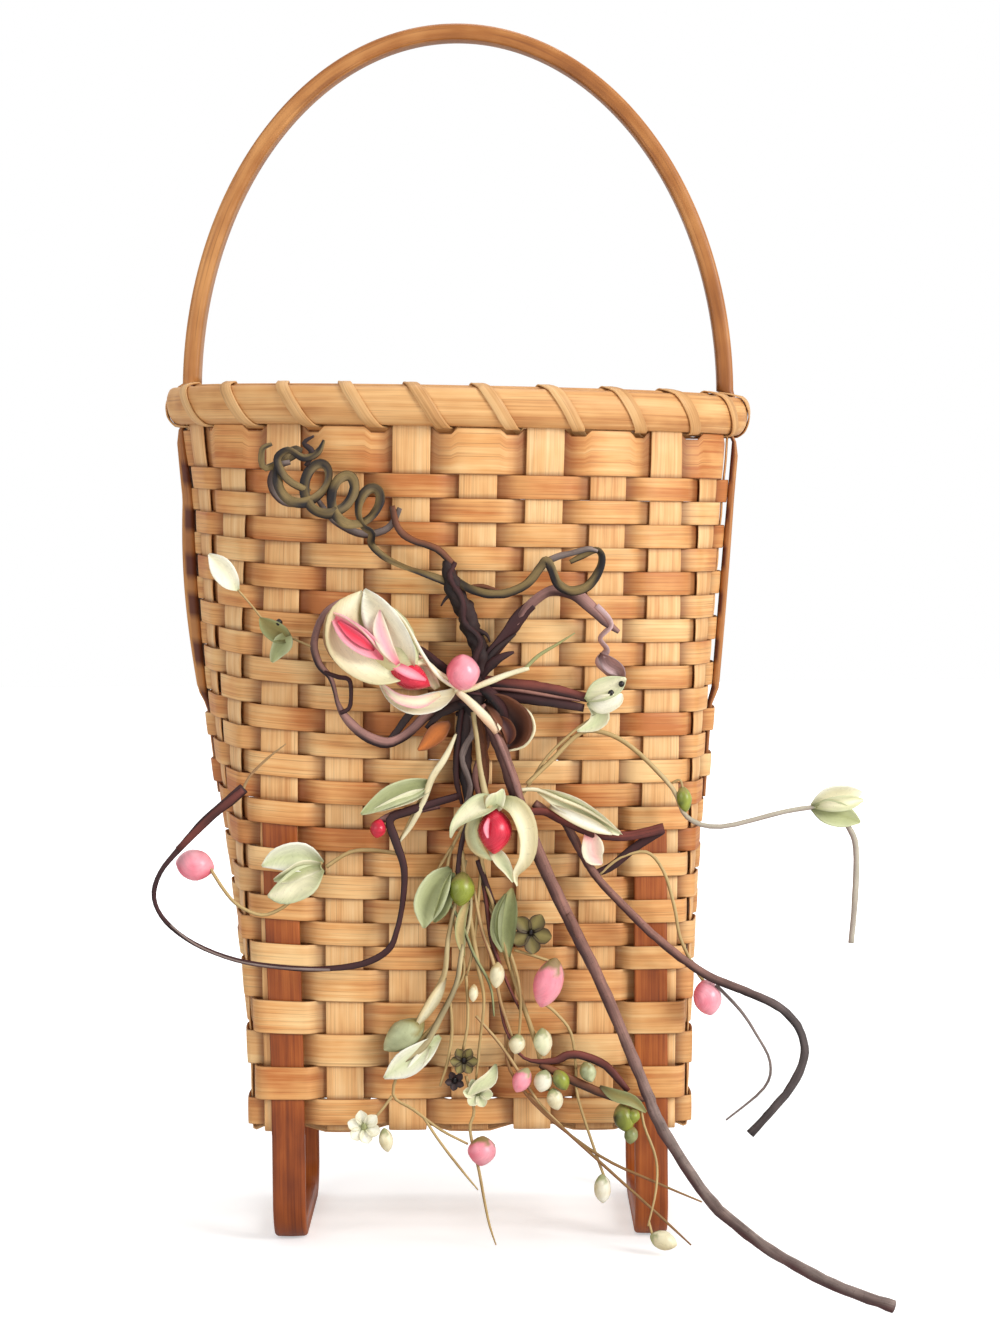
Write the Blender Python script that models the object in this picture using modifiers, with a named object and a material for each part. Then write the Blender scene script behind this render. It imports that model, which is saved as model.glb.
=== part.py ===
"""A tall splint basket on two bentwood foot runners, with a bow handle and a spray of vines tied on the front.

Metres, +Z up, front towards -Y. The ground is z = 0. The pieces are drawn round the middle of the
woven base, and an empty carries them all to where the origin is under the middle of the box round them.
"""

import bisect
import math

import bmesh
import bpy
from mathutils import Vector

MM = 0.001

# Clearance between touching pieces.
GAP = 0.3 * MM

# The stakes: flat splints up the walls and across the base.
FRONT_STAKES = 7
SIDE_STAKES = 4
STAKES = 2 * (FRONT_STAKES + SIDE_STAKES)
FRONT_PITCH = 26.4 * MM
SIDE_PITCH = 25 * MM
STAKE_WIDTH = 15.9 * MM
STAKE_THICK = 1.0 * MM
STAKE_TOP = 360.5 * MM

# The walls run from a rectangle at the base to an ellipse at the rim.
BASE_Z = 48.5 * MM
BASE_HALF_X = FRONT_PITCH * FRONT_STAKES / 2
BASE_HALF_Y = SIDE_PITCH * SIDE_STAKES / 2
BASE_BEND = 1.5 * MM
RIM_Z = 352.5 * MM
RIM_HALF_X = 118 * MM
RIM_HALF_Y = 75 * MM
RIM_SHIFT = -3 * MM
RIM_SAMPLES = 1440
FLARE = 1.3
# The stakes lean round the basket by this arc length from base to rim.
TWIST = 10 * MM
# The rows and the rim drop towards the right by this slope at the rim, and lift at the left side.
RIM_TILT = -0.027
LEFT_LIFT = 8 * MM
# The heights where a stake's edges are drawn between its top and the base.
STAKE_LEVELS = [BASE_Z + z * MM for z in (288, 260, 232, 204, 176, 148, 120, 93, 68, 45, 25, 9)]

# The weaver rows.
ROW_BOTTOM = 50.9 * MM
ROW_HEIGHTS = [11.1 * MM] + [13.8 * MM] * 4 + [9.94 * MM] * 21 + [16.66 * MM]
ROW_GAP = 0.5 * MM
WEAVER_THICK = 0.9 * MM
WEAVER_EASE = 0.8 * MM
# The corner stakes twist as they rise, so the rows stand this far off them.
WEAVER_GAP = 0.56 * MM
WEAVER_OUT = STAKE_THICK / 2 + WEAVER_GAP + WEAVER_THICK / 2

# Pieces held under some of the rows: the arms of the feet and the tails of the handle.
RIDER_WIDTH = 14 * MM
RIDER_THICK = 2 * MM
RIDER_IN = STAKE_THICK / 2 + GAP
RIDER_OUT = RIDER_IN + RIDER_THICK + GAP + WEAVER_THICK / 2
# How much of its thickness a bar's corners are cut by.
CORNER_CUT = 0.25

# The feet.
FOOT_X = 77 * MM
FOOT_STAKE_FRONT = {1: 3, -1: -3}
FOOT_STAKE_BACK = {1: 8, -1: 14}
FOOT_ROWS = 12
FOOT_LEVELS = [BASE_Z + z * MM for z in (137, 116, 93, 68, 45, 25, 9)]
FOOT_SHOULDER = BASE_Z - STAKE_THICK / 2 - GAP
FOOT_SHOULDER_STEP = 1.5 * MM
FOOT_THICK = 6 * MM
FOOT_BEND = 18 * MM
FOOT_BEND_STEPS = 4

# The rim: hoops, filler reed and lashing.
RIM_LEAN = 0.11
RIM_STATIONS = 56
HOOP_LOW = 345.4 * MM
HOOP_HIGH = 363 * MM
OUTER_HOOP_IN = 2.0 * MM
OUTER_HOOP_THICK = 4.5 * MM
INNER_HOOP_OUT = -1.5 * MM
INNER_HOOP_THICK = 3.5 * MM
# A hoop's section: how far out and how far up each corner is, from 0 to 1.
HOOP_SHAPE = ((0, 0.03), (0, 0.97), (0.35, 1), (0.8, 0.88), (1, 0.65), (1, 0.35), (0.8, 0.12), (0.35, 0))
HANDLE_BULGE = 1.6 * MM
BULGE_REACH = 22 * MM
REED_RADIUS = 1.5 * MM
REED_SIDES = 6
REED_OUT = -1.9 * MM
REED_Z = HOOP_HIGH + 1.9 * MM
LASH_WIDTH = 6 * MM
LASH_THICK = 0.8 * MM
LASH_CLEAR = GAP + LASH_THICK / 2 + 0.6 * MM
LASH_OUTSIDE = OUTER_HOOP_IN + OUTER_HOOP_THICK + LASH_CLEAR
LASH_INSIDE = INNER_HOOP_OUT - INNER_HOOP_THICK - LASH_CLEAR
LASH_HIGH = REED_Z + REED_RADIUS + LASH_CLEAR
LASH_LOW = HOOP_LOW - LASH_CLEAR
LASH_INSET = 2.5 * MM
LASH_CORNER = 1.5 * MM
# One turn of the lashing: how far along one stake's pitch, how high and how far out.
LASH_TURN = (
    (0.04, LASH_HIGH, OUTER_HOOP_IN + 1 * MM),
    (0.14, HOOP_HIGH - LASH_INSET, LASH_OUTSIDE),
    (0.38, HOOP_LOW + LASH_INSET, LASH_OUTSIDE),
    (0.50, LASH_LOW, OUTER_HOOP_IN + LASH_CORNER),
    (0.50, LASH_LOW, INNER_HOOP_OUT - LASH_CORNER),
    (0.62, HOOP_LOW + LASH_INSET, LASH_INSIDE),
    (0.90, HOOP_HIGH - 1 * MM, LASH_INSIDE),
    (0.96, LASH_HIGH, REED_OUT - LASH_INSET),
)
# The turns next to the handle lie this far back, clear of its ends, and the shift fades with distance.
LASH_HANDLE_SHIFT = -12 * MM
LASH_SHIFT_REACH = 0.5
LASH_SHIFT_FADE = 0.4

# The handle, a half ellipse above the rim, and its tails.
HANDLE_STAKES = (5, 16)
HANDLE_CENTRE_X = -2.8 * MM
HANDLE_HALF_X = 116 * MM
HANDLE_RISE = 156 * MM
HANDLE_FOOT_Z = 360.9 * MM
HANDLE_WIDTH = 14 * MM
HANDLE_THICK = 7 * MM
HANDLE_YAW = 1.9
HANDLE_STEPS = 30
BOW_START = 4
TAIL_THICK = 3 * MM
TAIL_IN = WEAVER_OUT + WEAVER_THICK / 2 + GAP
TAIL_IN_RIM = 1.8 * MM
TAIL_TOP_ROW = {5: 16, 16: 15}
TAIL_ROWS = {5: (14, 16), 16: (13, 15)}
TAIL_END = {5: 187.5 * MM, 16: 181.5 * MM}
# A tail thins below the hoop, dives in behind it, and hooks over the stake's top.
TAIL_THIN_Z = HOOP_LOW - 9 * MM
TAIL_DIVE_Z = HOOP_LOW - 2.8 * MM
TAIL_OVER_STAKE_Z = STAKE_TOP + 0.6 * MM
TAIL_HOOK_Z = HOOP_HIGH + 0.5 * MM
TAIL_STEPS = 3

# The spray. Its points are measured from the knot, sideways, upwards and out from the wall.
KNOT_X = 3 * MM
KNOT_Z = 234.5 * MM
TIE_HALF = (7 * MM, 6 * MM, 10 * MM)
TIE_OUT = 8.4 * MM
TIE_SEGMENTS = 14
TIE_RINGS = 8
CURL_STEPS = 9
CURL_DEPTH = 0.8
WELD = 0.01 * MM

# Where the basket's middle stands, so that the box round basket and spray is centred on the origin.
BASKET_X = -17.6 * MM
BASKET_Y = 54.545 * MM


def level(z):
    """How far up the wall a height is: 0 at the base, 1 at the rim."""
    return (z - BASE_Z) / (RIM_Z - BASE_Z)


def share_at(t):
    """How far the wall has gone from the base outline to the rim outline."""
    return max(t, 0.0) ** FLARE


def ellipse_lengths(steps):
    lengths = [0.0]
    for step in range(steps):
        angle = (step + 0.5) * math.tau / steps
        speed = math.hypot(RIM_HALF_X * math.cos(angle), RIM_HALF_Y * math.sin(angle))
        lengths.append(lengths[-1] + speed * math.tau / steps)
    return lengths


RIM_LENGTHS = ellipse_lengths(RIM_SAMPLES)
PERIMETER = RIM_LENGTHS[-1]
PITCH = PERIMETER / STAKES


def rim_angle(arc):
    """Angle round the rim ellipse at an arc length from its front centre, towards +x."""
    turns = math.floor(arc / PERIMETER)
    rest = arc - turns * PERIMETER
    step = min(bisect.bisect_right(RIM_LENGTHS, rest), len(RIM_LENGTHS) - 1) - 1
    part = (rest - RIM_LENGTHS[step]) / (RIM_LENGTHS[step + 1] - RIM_LENGTHS[step])
    return math.tau * (turns + (step + part) / (len(RIM_LENGTHS) - 1))


def base_place(i):
    """Where stake i leaves the base, and the heading of its width. Stake 0 is the front middle."""
    half = FRONT_STAKES // 2
    corner = half + SIDE_STAKES
    if i <= half:
        return Vector((i * FRONT_PITCH, -BASE_HALF_Y)), 0.0
    if i <= corner:
        return Vector((BASE_HALF_X, (i - (half + corner + 1) / 2) * SIDE_PITCH)), math.pi / 2
    if i <= corner + FRONT_STAKES:
        return Vector(((STAKES / 2 - i) * FRONT_PITCH, BASE_HALF_Y)), math.pi
    middle = corner + FRONT_STAKES + (SIDE_STAKES + 1) / 2
    return Vector((-BASE_HALF_X, (middle - i) * SIDE_PITCH)), 3 * math.pi / 2


def rim_place(i, heading):
    """Where stake i meets the rim, and the heading of its width there, next to the heading given."""
    angle = rim_angle(TWIST + i * PITCH)
    place = Vector((RIM_SHIFT + RIM_HALF_X * math.sin(angle), -RIM_HALF_Y * math.cos(angle)))
    found = math.atan2(RIM_HALF_Y * math.sin(angle), RIM_HALF_X * math.cos(angle))
    found += math.tau * round((heading - found) / math.tau)
    return place, found


def tilted(x, y, z, t):
    lift = LEFT_LIFT * math.sin(math.pi * min(max(t, 0.0), 1.0)) * max(0.0, -x / RIM_HALF_X) ** 3
    return Vector((x, y, z + RIM_TILT * t * x + lift))


def stake_frame(i, t):
    """Centre, width direction and outward direction of stake i at a level, seen from above."""
    i = (i + FRONT_STAKES // 2) % STAKES - FRONT_STAKES // 2
    start, start_heading = base_place(i)
    end, end_heading = rim_place(i, start_heading)
    share = share_at(t)
    centre = start + (end - start) * share
    heading = start_heading + (end_heading - start_heading) * share
    across = Vector((math.cos(heading), math.sin(heading)))
    outward = Vector((math.sin(heading), -math.cos(heading)))
    return centre, across, outward


def wall(i, t, along, out):
    """A point by stake i: at level t, along its width from its middle, and out from the wall surface."""
    centre, across, outward = stake_frame(i, t)
    place = centre + across * along + outward * out
    return tilted(place.x, place.y, BASE_Z + t * (RIM_Z - BASE_Z), t)


def foot_along(i, t):
    """Where the middle of a foot's arm lies along its stake, so that the arm stays at FOOT_X."""
    centre, across, _ = stake_frame(i, t)
    target = math.copysign(FOOT_X, centre.x)
    return (target - centre.x) / across.x


def rim_point(angle, z, out):
    """A point by the rim ellipse, leaning out with height as the wall does."""
    normal = Vector((math.sin(angle) / RIM_HALF_X, -math.cos(angle) / RIM_HALF_Y)).normalized()
    reach = out + RIM_LEAN * (z - RIM_Z)
    x = RIM_SHIFT + RIM_HALF_X * math.sin(angle) + normal.x * reach
    y = -RIM_HALF_Y * math.cos(angle) + normal.y * reach
    return tilted(x, y, z, 1.0)


def handle_bulge(angle):
    """How far the outer hoop steps out here, to go round the handle's tails."""
    share = 0.0
    for i in HANDLE_STAKES:
        middle = rim_angle(TWIST + i * PITCH)
        away = math.hypot(
            RIM_HALF_X * (math.sin(angle) - math.sin(middle)),
            RIM_HALF_Y * (math.cos(angle) - math.cos(middle)),
        )
        share = max(share, min(1.0, 2 - 2 * away / BULGE_REACH))
    share = max(share, 0.0)
    return HANDLE_BULGE * share * share * (3 - 2 * share)


def row_edges(row):
    """Bottom and top height of a weaver row. Row 1 is the lowest."""
    bottom = ROW_BOTTOM + sum(ROW_HEIGHTS[: row - 1])
    return bottom, bottom + ROW_HEIGHTS[row - 1] - ROW_GAP


def material(name, colour, roughness):
    made = bpy.data.materials.new(name)
    made.use_nodes = True
    shader = made.node_tree.nodes["Principled BSDF"]
    shader.inputs["Base Color"].default_value = (*colour, 1)
    shader.inputs["Roughness"].default_value = roughness
    shader.inputs["Metallic"].default_value = 0.0
    return made


def clear_scene():
    for obj in list(bpy.data.objects):
        bpy.data.objects.remove(obj, do_unlink=True)


def new_collection(name):
    made = bpy.data.collections.new(name)
    bpy.context.scene.collection.children.link(made)
    return made


clear_scene()
PARTS = new_collection("footed_basket")
CUTTERS = new_collection("cutters")

STAKE_WOOD = material("stake_splint", (0.66, 0.42, 0.18), 0.6)
WEAVER_WOOD = material("weaver_splint", (0.72, 0.48, 0.22), 0.6)
HOOP_WOOD = material("rim_wood", (0.74, 0.50, 0.25), 0.55)
LASH_CANE = material("lashing_cane", (0.78, 0.55, 0.28), 0.55)
HANDLE_WOOD = material("handle_wood", (0.42, 0.18, 0.06), 0.45)
FOOT_WOOD = material("foot_wood", (0.30, 0.09, 0.02), 0.45)
VINE = material("vine", (0.10, 0.04, 0.035), 0.6)
TENDRIL = material("tendril", (0.18, 0.12, 0.05), 0.6)
BUD = material("bud", (0.80, 0.70, 0.55), 0.5)


def add_mesh(name, points, faces, look, smooth=False):
    mesh = bpy.data.meshes.new(name)
    mesh.from_pydata([tuple(point) for point in points], [], faces)
    shaped = bmesh.new()
    shaped.from_mesh(mesh)
    bmesh.ops.recalc_face_normals(shaped, faces=shaped.faces)
    shaped.to_mesh(mesh)
    shaped.free()
    if smooth:
        mesh.polygons.foreach_set("use_smooth", [True] * len(mesh.polygons))
    mesh.materials.append(look)
    obj = bpy.data.objects.new(name, mesh)
    PARTS.objects.link(obj)
    return obj


def add_ribbon(name, lines, closed, thick, look):
    """A flat splint: the sheet between two lines of points, made solid with Solidify."""
    count = len(lines[0])
    points = [point for line in lines for point in line]
    steps = count if closed else count - 1
    faces = []
    for step in range(steps):
        after = (step + 1) % count
        faces.append((step, after, count + after, count + step))
    obj = add_mesh(name, points, faces, look)
    solid = obj.modifiers.new("thickness", "SOLIDIFY")
    solid.thickness = thick
    solid.offset = 0
    solid.use_even_offset = True
    return obj


def add_loft(name, sections, closed, look, smooth=False):
    """A solid through a row of unlike sections that have the same number of points."""
    count = len(sections[0])
    points = [point for section in sections for point in section]
    faces = []
    for k in range(len(sections) if closed else len(sections) - 1):
        here = k * count
        there = (k + 1) % len(sections) * count
        for j in range(count):
            after = (j + 1) % count
            faces.append((here + j, here + after, there + after, there + j))
    if not closed:
        last = (len(sections) - 1) * count
        faces.append(tuple(range(count)))
        faces.append(tuple(range(last, last + count)))
    return add_mesh(name, points, faces, look, smooth)


def eased(place, half_width, inner, outer):
    """A section with cut corners. place takes a distance along the width and a distance out."""
    cut = (outer - inner) * CORNER_CUT
    return [
        place(-half_width + cut, inner),
        place(half_width - cut, inner),
        place(half_width, inner + cut),
        place(half_width, outer - cut),
        place(half_width - cut, outer),
        place(-half_width + cut, outer),
        place(-half_width, outer - cut),
        place(-half_width, inner + cut),
    ]


def stake_side(i):
    """The two edge lines of stake i from its top down to just above the base."""
    heights = (STAKE_TOP, *STAKE_LEVELS)
    left = [wall(i, level(z), -STAKE_WIDTH / 2, 0) for z in heights]
    right = [wall(i, level(z), STAKE_WIDTH / 2, 0) for z in heights]
    return left, right


def base_line(start, end, crossings):
    """Heights and distances of a stake as it crosses the base, from one bend to the other."""
    length = (end - start).length
    points = [(0, BASE_Z + BASE_BEND), (BASE_BEND, BASE_Z)]
    for distance, lift in crossings:
        half = STAKE_WIDTH / 2 + WEAVER_EASE
        points.append((distance - half, BASE_Z + lift))
        points.append((distance + half, BASE_Z + lift))
    points += [(length - BASE_BEND, BASE_Z), (length, BASE_Z + BASE_BEND)]
    return points


def add_stake(name, first, second, crossings):
    """One long splint: up the wall at stake first, across the base, and up at stake second."""
    first_left, first_right = stake_side(first)
    second_left, second_right = stake_side(second)
    start, across, _ = stake_frame(first, 0)
    end, _, _ = stake_frame(second, 0)
    along = (end - start).normalized()
    left, right = [], []
    for distance, z in base_line(start, end, crossings):
        middle = start + along * distance
        low = middle - across * STAKE_WIDTH / 2
        high = middle + across * STAKE_WIDTH / 2
        left.append(Vector((low.x, low.y, z)))
        right.append(Vector((high.x, high.y, z)))
    lines = (
        first_left + left + second_right[::-1],
        first_right + right + second_left[::-1],
    )
    return add_ribbon(name, lines, False, STAKE_THICK, STAKE_WOOD)


def add_stakes():
    half = FRONT_STAKES // 2
    for k in range(-half, half + 1):
        add_stake(f"stake_long_{k + half + 1}", k, STAKES // 2 - k, [])
    lift = STAKE_THICK + GAP
    for j in range(SIDE_STAKES):
        right = half + 1 + j
        left = STAKES // 2 + FRONT_STAKES + SIDE_STAKES - right
        crossings = []
        for k in range(-half, half + 1):
            side = 1 if (j + k) % 2 else -1
            crossings.append((BASE_HALF_X - k * FRONT_PITCH, side * lift))
        crossings.sort()
        add_stake(f"stake_cross_{j + 1}", right, left, crossings)


def rider_here(i, t, row):
    """The middle, along stake i, of a foot arm or handle tail that the row meets, or None."""
    index = i % STAKES
    feet = [stake % STAKES for stake in (*FOOT_STAKE_FRONT.values(), *FOOT_STAKE_BACK.values())]
    if index in feet and row <= FOOT_ROWS:
        return foot_along(i, t)
    if row in TAIL_ROWS.get(index, ()):
        return 0.0
    return None


def weaver_line(row, z):
    """The middle line of a row's splint at a height, over every second stake."""
    t = level(z)
    flat = STAKE_WIDTH / 2 + WEAVER_EASE
    points = []
    for i in range(STAKES):
        over = (row + i) % 2 == 1
        out = WEAVER_OUT if over else -WEAVER_OUT
        low, high = -flat, flat
        rider = rider_here(i, t, row)
        if rider is not None:
            low = min(low, rider - RIDER_WIDTH / 2 - WEAVER_EASE)
            high = max(high, rider + RIDER_WIDTH / 2 + WEAVER_EASE)
            out = RIDER_OUT if over else out
        points.append(wall(i, t, low, out))
        points.append(wall(i, t, high, out))
    return points


def add_weavers():
    for row in range(1, len(ROW_HEIGHTS) + 1):
        bottom, top = row_edges(row)
        lines = (weaver_line(row, bottom), weaver_line(row, top))
        add_ribbon(f"weaver_{row:02d}", lines, True, WEAVER_THICK, WEAVER_WOOD)


def hoop_section(angle, inner, outer):
    """A flat inner face and a rounded outer face, or the other way round for the inner hoop."""
    depth = outer - inner
    tall = HOOP_HIGH - HOOP_LOW
    return [rim_point(angle, HOOP_LOW + tall * up, inner + depth * out) for out, up in HOOP_SHAPE]


def add_rim():
    outer, inner, reed = [], [], []
    for k in range(RIM_STATIONS):
        angle = math.tau * k / RIM_STATIONS
        start = OUTER_HOOP_IN + handle_bulge(angle)
        outer.append(hoop_section(angle, start, start + OUTER_HOOP_THICK))
        inner.append(hoop_section(angle, INNER_HOOP_OUT, INNER_HOOP_OUT - INNER_HOOP_THICK))
        ring = []
        for corner in range(REED_SIDES):
            turn = math.tau * corner / REED_SIDES
            height = REED_Z + REED_RADIUS * math.sin(turn)
            ring.append(rim_point(angle, height, REED_OUT + REED_RADIUS * math.cos(turn)))
        reed.append(ring)
    add_loft("outer_rim", outer, True, HOOP_WOOD, smooth=True)
    add_loft("inner_rim", inner, True, HOOP_WOOD, smooth=True)
    add_loft("rim_filler", reed, True, HOOP_WOOD, smooth=True)


def lash_path():
    """The middle line of the lashing: its arc length, height and distance out, one turn per stake."""
    path = []
    for i in range(STAKES):
        for part, z, out in LASH_TURN:
            arc = TWIST + (i + part) * PITCH
            for stake in HANDLE_STAKES:
                away = abs(i + part - stake)
                arc += LASH_HANDLE_SHIFT * min(1.0, max(0.0, (LASH_SHIFT_REACH - away) / LASH_SHIFT_FADE))
            path.append((arc, z, out))
    return path


def add_lashing():
    middle = []
    tangents = []
    for arc, z, out in lash_path():
        angle = rim_angle(arc)
        bulge = handle_bulge(angle) if out > OUTER_HOOP_IN else 0.0
        middle.append(rim_point(angle, z, out + bulge))
        ahead = rim_point(rim_angle(arc + 1 * MM), z, out)
        tangents.append((ahead - rim_point(rim_angle(arc - 1 * MM), z, out)).normalized())
    left, right = [], []
    count = len(middle)
    for k in range(count):
        ahead = (middle[(k + 1) % count] - middle[k - 1]).normalized()
        across = (tangents[k] - ahead * tangents[k].dot(ahead)).normalized() * LASH_WIDTH / 2
        left.append(middle[k] - across)
        right.append(middle[k] + across)
    add_ribbon("rim_lashing", (left, right), True, LASH_THICK, LASH_CANE)


def tail_sections(i):
    """Sections of a handle tail from its lower end up to just above the rim."""
    bottom, top = row_edges(TAIL_TOP_ROW[i] + 1)
    low = (RIDER_IN, RIDER_IN + RIDER_THICK)
    outside = (TAIL_IN, TAIL_IN + TAIL_THICK)
    steps = [(z, *low) for z in (TAIL_END[i], (TAIL_END[i] + bottom) / 2, bottom)]
    for k in range(TAIL_STEPS + 1):
        steps.append((top + (TAIL_THIN_Z - top) * k / TAIL_STEPS, *outside))
    steps += [
        (TAIL_DIVE_Z, TAIL_IN, TAIL_IN + TAIL_IN_RIM),
        (HOOP_LOW - GAP, RIDER_IN, RIDER_IN + TAIL_IN_RIM),
        (TAIL_OVER_STAKE_Z, RIDER_IN, RIDER_IN + TAIL_IN_RIM),
        (TAIL_HOOK_Z, 0, TAIL_IN_RIM),
        (REED_Z + REED_RADIUS + GAP, 0, TAIL_IN_RIM),
    ]
    sections = []
    for z, inner, outer in steps:
        t = level(z)
        sections.append(eased(lambda u, v: wall(i, t, u, v), HANDLE_WIDTH / 2, inner, outer))
    return sections


def bow_sections():
    """Sections of the bow from the right end, over the top, to the left end."""
    yaw = math.radians(HANDLE_YAW)
    side = Vector((math.sin(yaw), math.cos(yaw), 0))
    run = Vector((math.cos(yaw), -math.sin(yaw), 0))
    sections = []
    first = math.radians(BOW_START)
    for step in range(HANDLE_STEPS + 1):
        turn = first + (math.pi - 2 * first) * step / HANDLE_STEPS
        normal = Vector((math.cos(turn) / HANDLE_HALF_X, math.sin(turn) / HANDLE_RISE)).normalized()
        out = run * normal.x + Vector((0, 0, normal.y))
        centre = Vector((HANDLE_CENTRE_X, 0, HANDLE_FOOT_Z))
        centre += run * HANDLE_HALF_X * math.cos(turn)
        centre.z += HANDLE_RISE * math.sin(turn)
        half = HANDLE_THICK / 2
        sections.append(eased(lambda u, v: centre + side * u + out * v, HANDLE_WIDTH / 2, -half, half))
    return sections


def mirrored(section):
    """The same section with its width turned round, so that it meets sections from the other side."""
    return [section[(1 - k) % len(section)] for k in range(len(section))]


def add_handle():
    right, left = HANDLE_STAKES
    ends = [mirrored(section) for section in tail_sections(left)]
    add_loft("handle", tail_sections(right) + bow_sections() + ends[::-1], False, HANDLE_WOOD)


def foot_sections(side):
    """Sections of a foot runner from the top of its front arm to the top of its back arm."""
    x = side * FOOT_X
    outer = BASE_HALF_Y + RIDER_IN + RIDER_THICK
    inner = outer - FOOT_THICK

    def arm(i, direction):
        arms = []
        for z in FOOT_LEVELS:
            t = level(z)
            middle = foot_along(i, t)

            def place(u, v):
                return wall(i, t, middle + direction * u, v)

            arms.append(eased(place, RIDER_WIDTH / 2, RIDER_IN, RIDER_IN + RIDER_THICK))
        return arms

    def below(front):
        legs = []
        step_z = FOOT_SHOULDER - FOOT_SHOULDER_STEP
        for z, start in ((FOOT_SHOULDER, outer - RIDER_THICK), (step_z, inner)):

            def place(u, v):
                return Vector((x + u, front * v, z))

            legs.append(eased(place, RIDER_WIDTH / 2, start, outer))
        for step in range(FOOT_BEND_STEPS + 1):
            turn = math.pi / 2 * step / FOOT_BEND_STEPS
            centre = outer - FOOT_BEND

            def curve(u, v):
                y = front * (centre + (v + FOOT_BEND - FOOT_THICK) * math.cos(turn))
                return Vector((x + u, y, FOOT_BEND - (v + FOOT_BEND - FOOT_THICK) * math.sin(turn)))

            legs.append(eased(curve, RIDER_WIDTH / 2, 0, FOOT_THICK))
        return legs

    front_arm = arm(FOOT_STAKE_FRONT[side], 1)
    back_arm = arm(FOOT_STAKE_BACK[side], -1)
    return front_arm + below(-1) + below(1)[::-1] + back_arm[::-1]


def add_feet():
    add_loft("left_foot", foot_sections(-1), False, FOOT_WOOD)
    add_loft("right_foot", foot_sections(1), False, FOOT_WOOD)


def spray_point(dx, dz, out):
    """A point of the spray, from millimetres beside, above and out from the wall at the knot."""
    z = KNOT_Z + dz * MM
    reach = BASE_HALF_Y + (RIM_HALF_Y - BASE_HALF_Y) * share_at(level(z))
    return Vector((KNOT_X + dx * MM, -reach - out * MM, z))


def wire(name, route, look, sides=1):
    """A round stem through (beside, above, out, radius) points in millimetres."""
    curve = bpy.data.curves.new(name, "CURVE")
    curve.dimensions = "3D"
    curve.bevel_depth = 1.0
    curve.bevel_resolution = sides
    curve.use_fill_caps = True
    curve.twist_mode = "MINIMUM"
    line = curve.splines.new("POLY")
    line.points.add(len(route) - 1)
    for point, (dx, dz, out, radius) in zip(line.points, route):
        point.co = (*spray_point(dx, dz, out), 1)
        point.radius = radius * MM
    curve.materials.append(look)
    obj = bpy.data.objects.new(name, curve)
    PARTS.objects.link(obj)
    return obj


def as_mesh(obj):
    """The same stem as a closed mesh, for the union of several stems."""
    bpy.context.view_layer.update()
    graph = bpy.context.evaluated_depsgraph_get()
    mesh = bpy.data.meshes.new_from_object(obj.evaluated_get(graph))
    mesh.transform(obj.matrix_world)
    shaped = bmesh.new()
    shaped.from_mesh(mesh)
    bmesh.ops.remove_doubles(shaped, verts=shaped.verts, dist=WELD)
    bmesh.ops.recalc_face_normals(shaped, faces=shaped.faces)
    shaped.to_mesh(mesh)
    shaped.free()
    name = obj.name
    bpy.data.objects.remove(obj, do_unlink=True)
    return bpy.data.objects.new(name, mesh)


def bunch(name, routes, look, sides=1):
    """Several stems that grow from one another, joined into one solid."""
    stems = [as_mesh(wire(f"{name}_{k}", route, look, sides)) for k, route in enumerate(routes)]
    trunk = stems[0]
    trunk.name = name
    PARTS.objects.link(trunk)
    for stem in stems[1:]:
        stem.hide_render = True
        stem.display_type = "WIRE"
        CUTTERS.objects.link(stem)
        join = trunk.modifiers.new("join", "BOOLEAN")
        join.operation = "UNION"
        join.solver = "EXACT"
        join.object = stem
    return trunk


def even(points, out, radius):
    """A route at one distance from the wall and of one radius."""
    return [(dx, dz, out, radius) for dx, dz in points]


def corkscrew(start, end, out, radii, turns, radius):
    """A curl round the line from start to end."""
    along = Vector((end[0] - start[0], end[1] - start[1]))
    across = Vector((-along.y, along.x)).normalized()
    steps = round(turns * CURL_STEPS)
    route = []
    for step in range(steps + 1):
        part = step / steps
        angle = math.tau * turns * part
        reach = radii[0] + (radii[1] - radii[0]) * part
        middle = Vector(start) + along * part
        place = middle + across * reach * math.cos(angle)
        route.append((place.x, place.y, out + reach * CURL_DEPTH * math.sin(angle), radius))
    return route


def add_tie():
    bpy.ops.mesh.primitive_uv_sphere_add(segments=TIE_SEGMENTS, ring_count=TIE_RINGS, radius=1)
    obj = bpy.context.object
    obj.name = "sprig_tie"
    obj.scale = TIE_HALF
    obj.location = spray_point(0, 0, TIE_OUT / MM)
    for collection in list(obj.users_collection):
        collection.objects.unlink(obj)
    PARTS.objects.link(obj)
    obj.data.materials.append(VINE)
    obj.data.polygons.foreach_set("use_smooth", [True] * len(obj.data.polygons))


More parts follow.
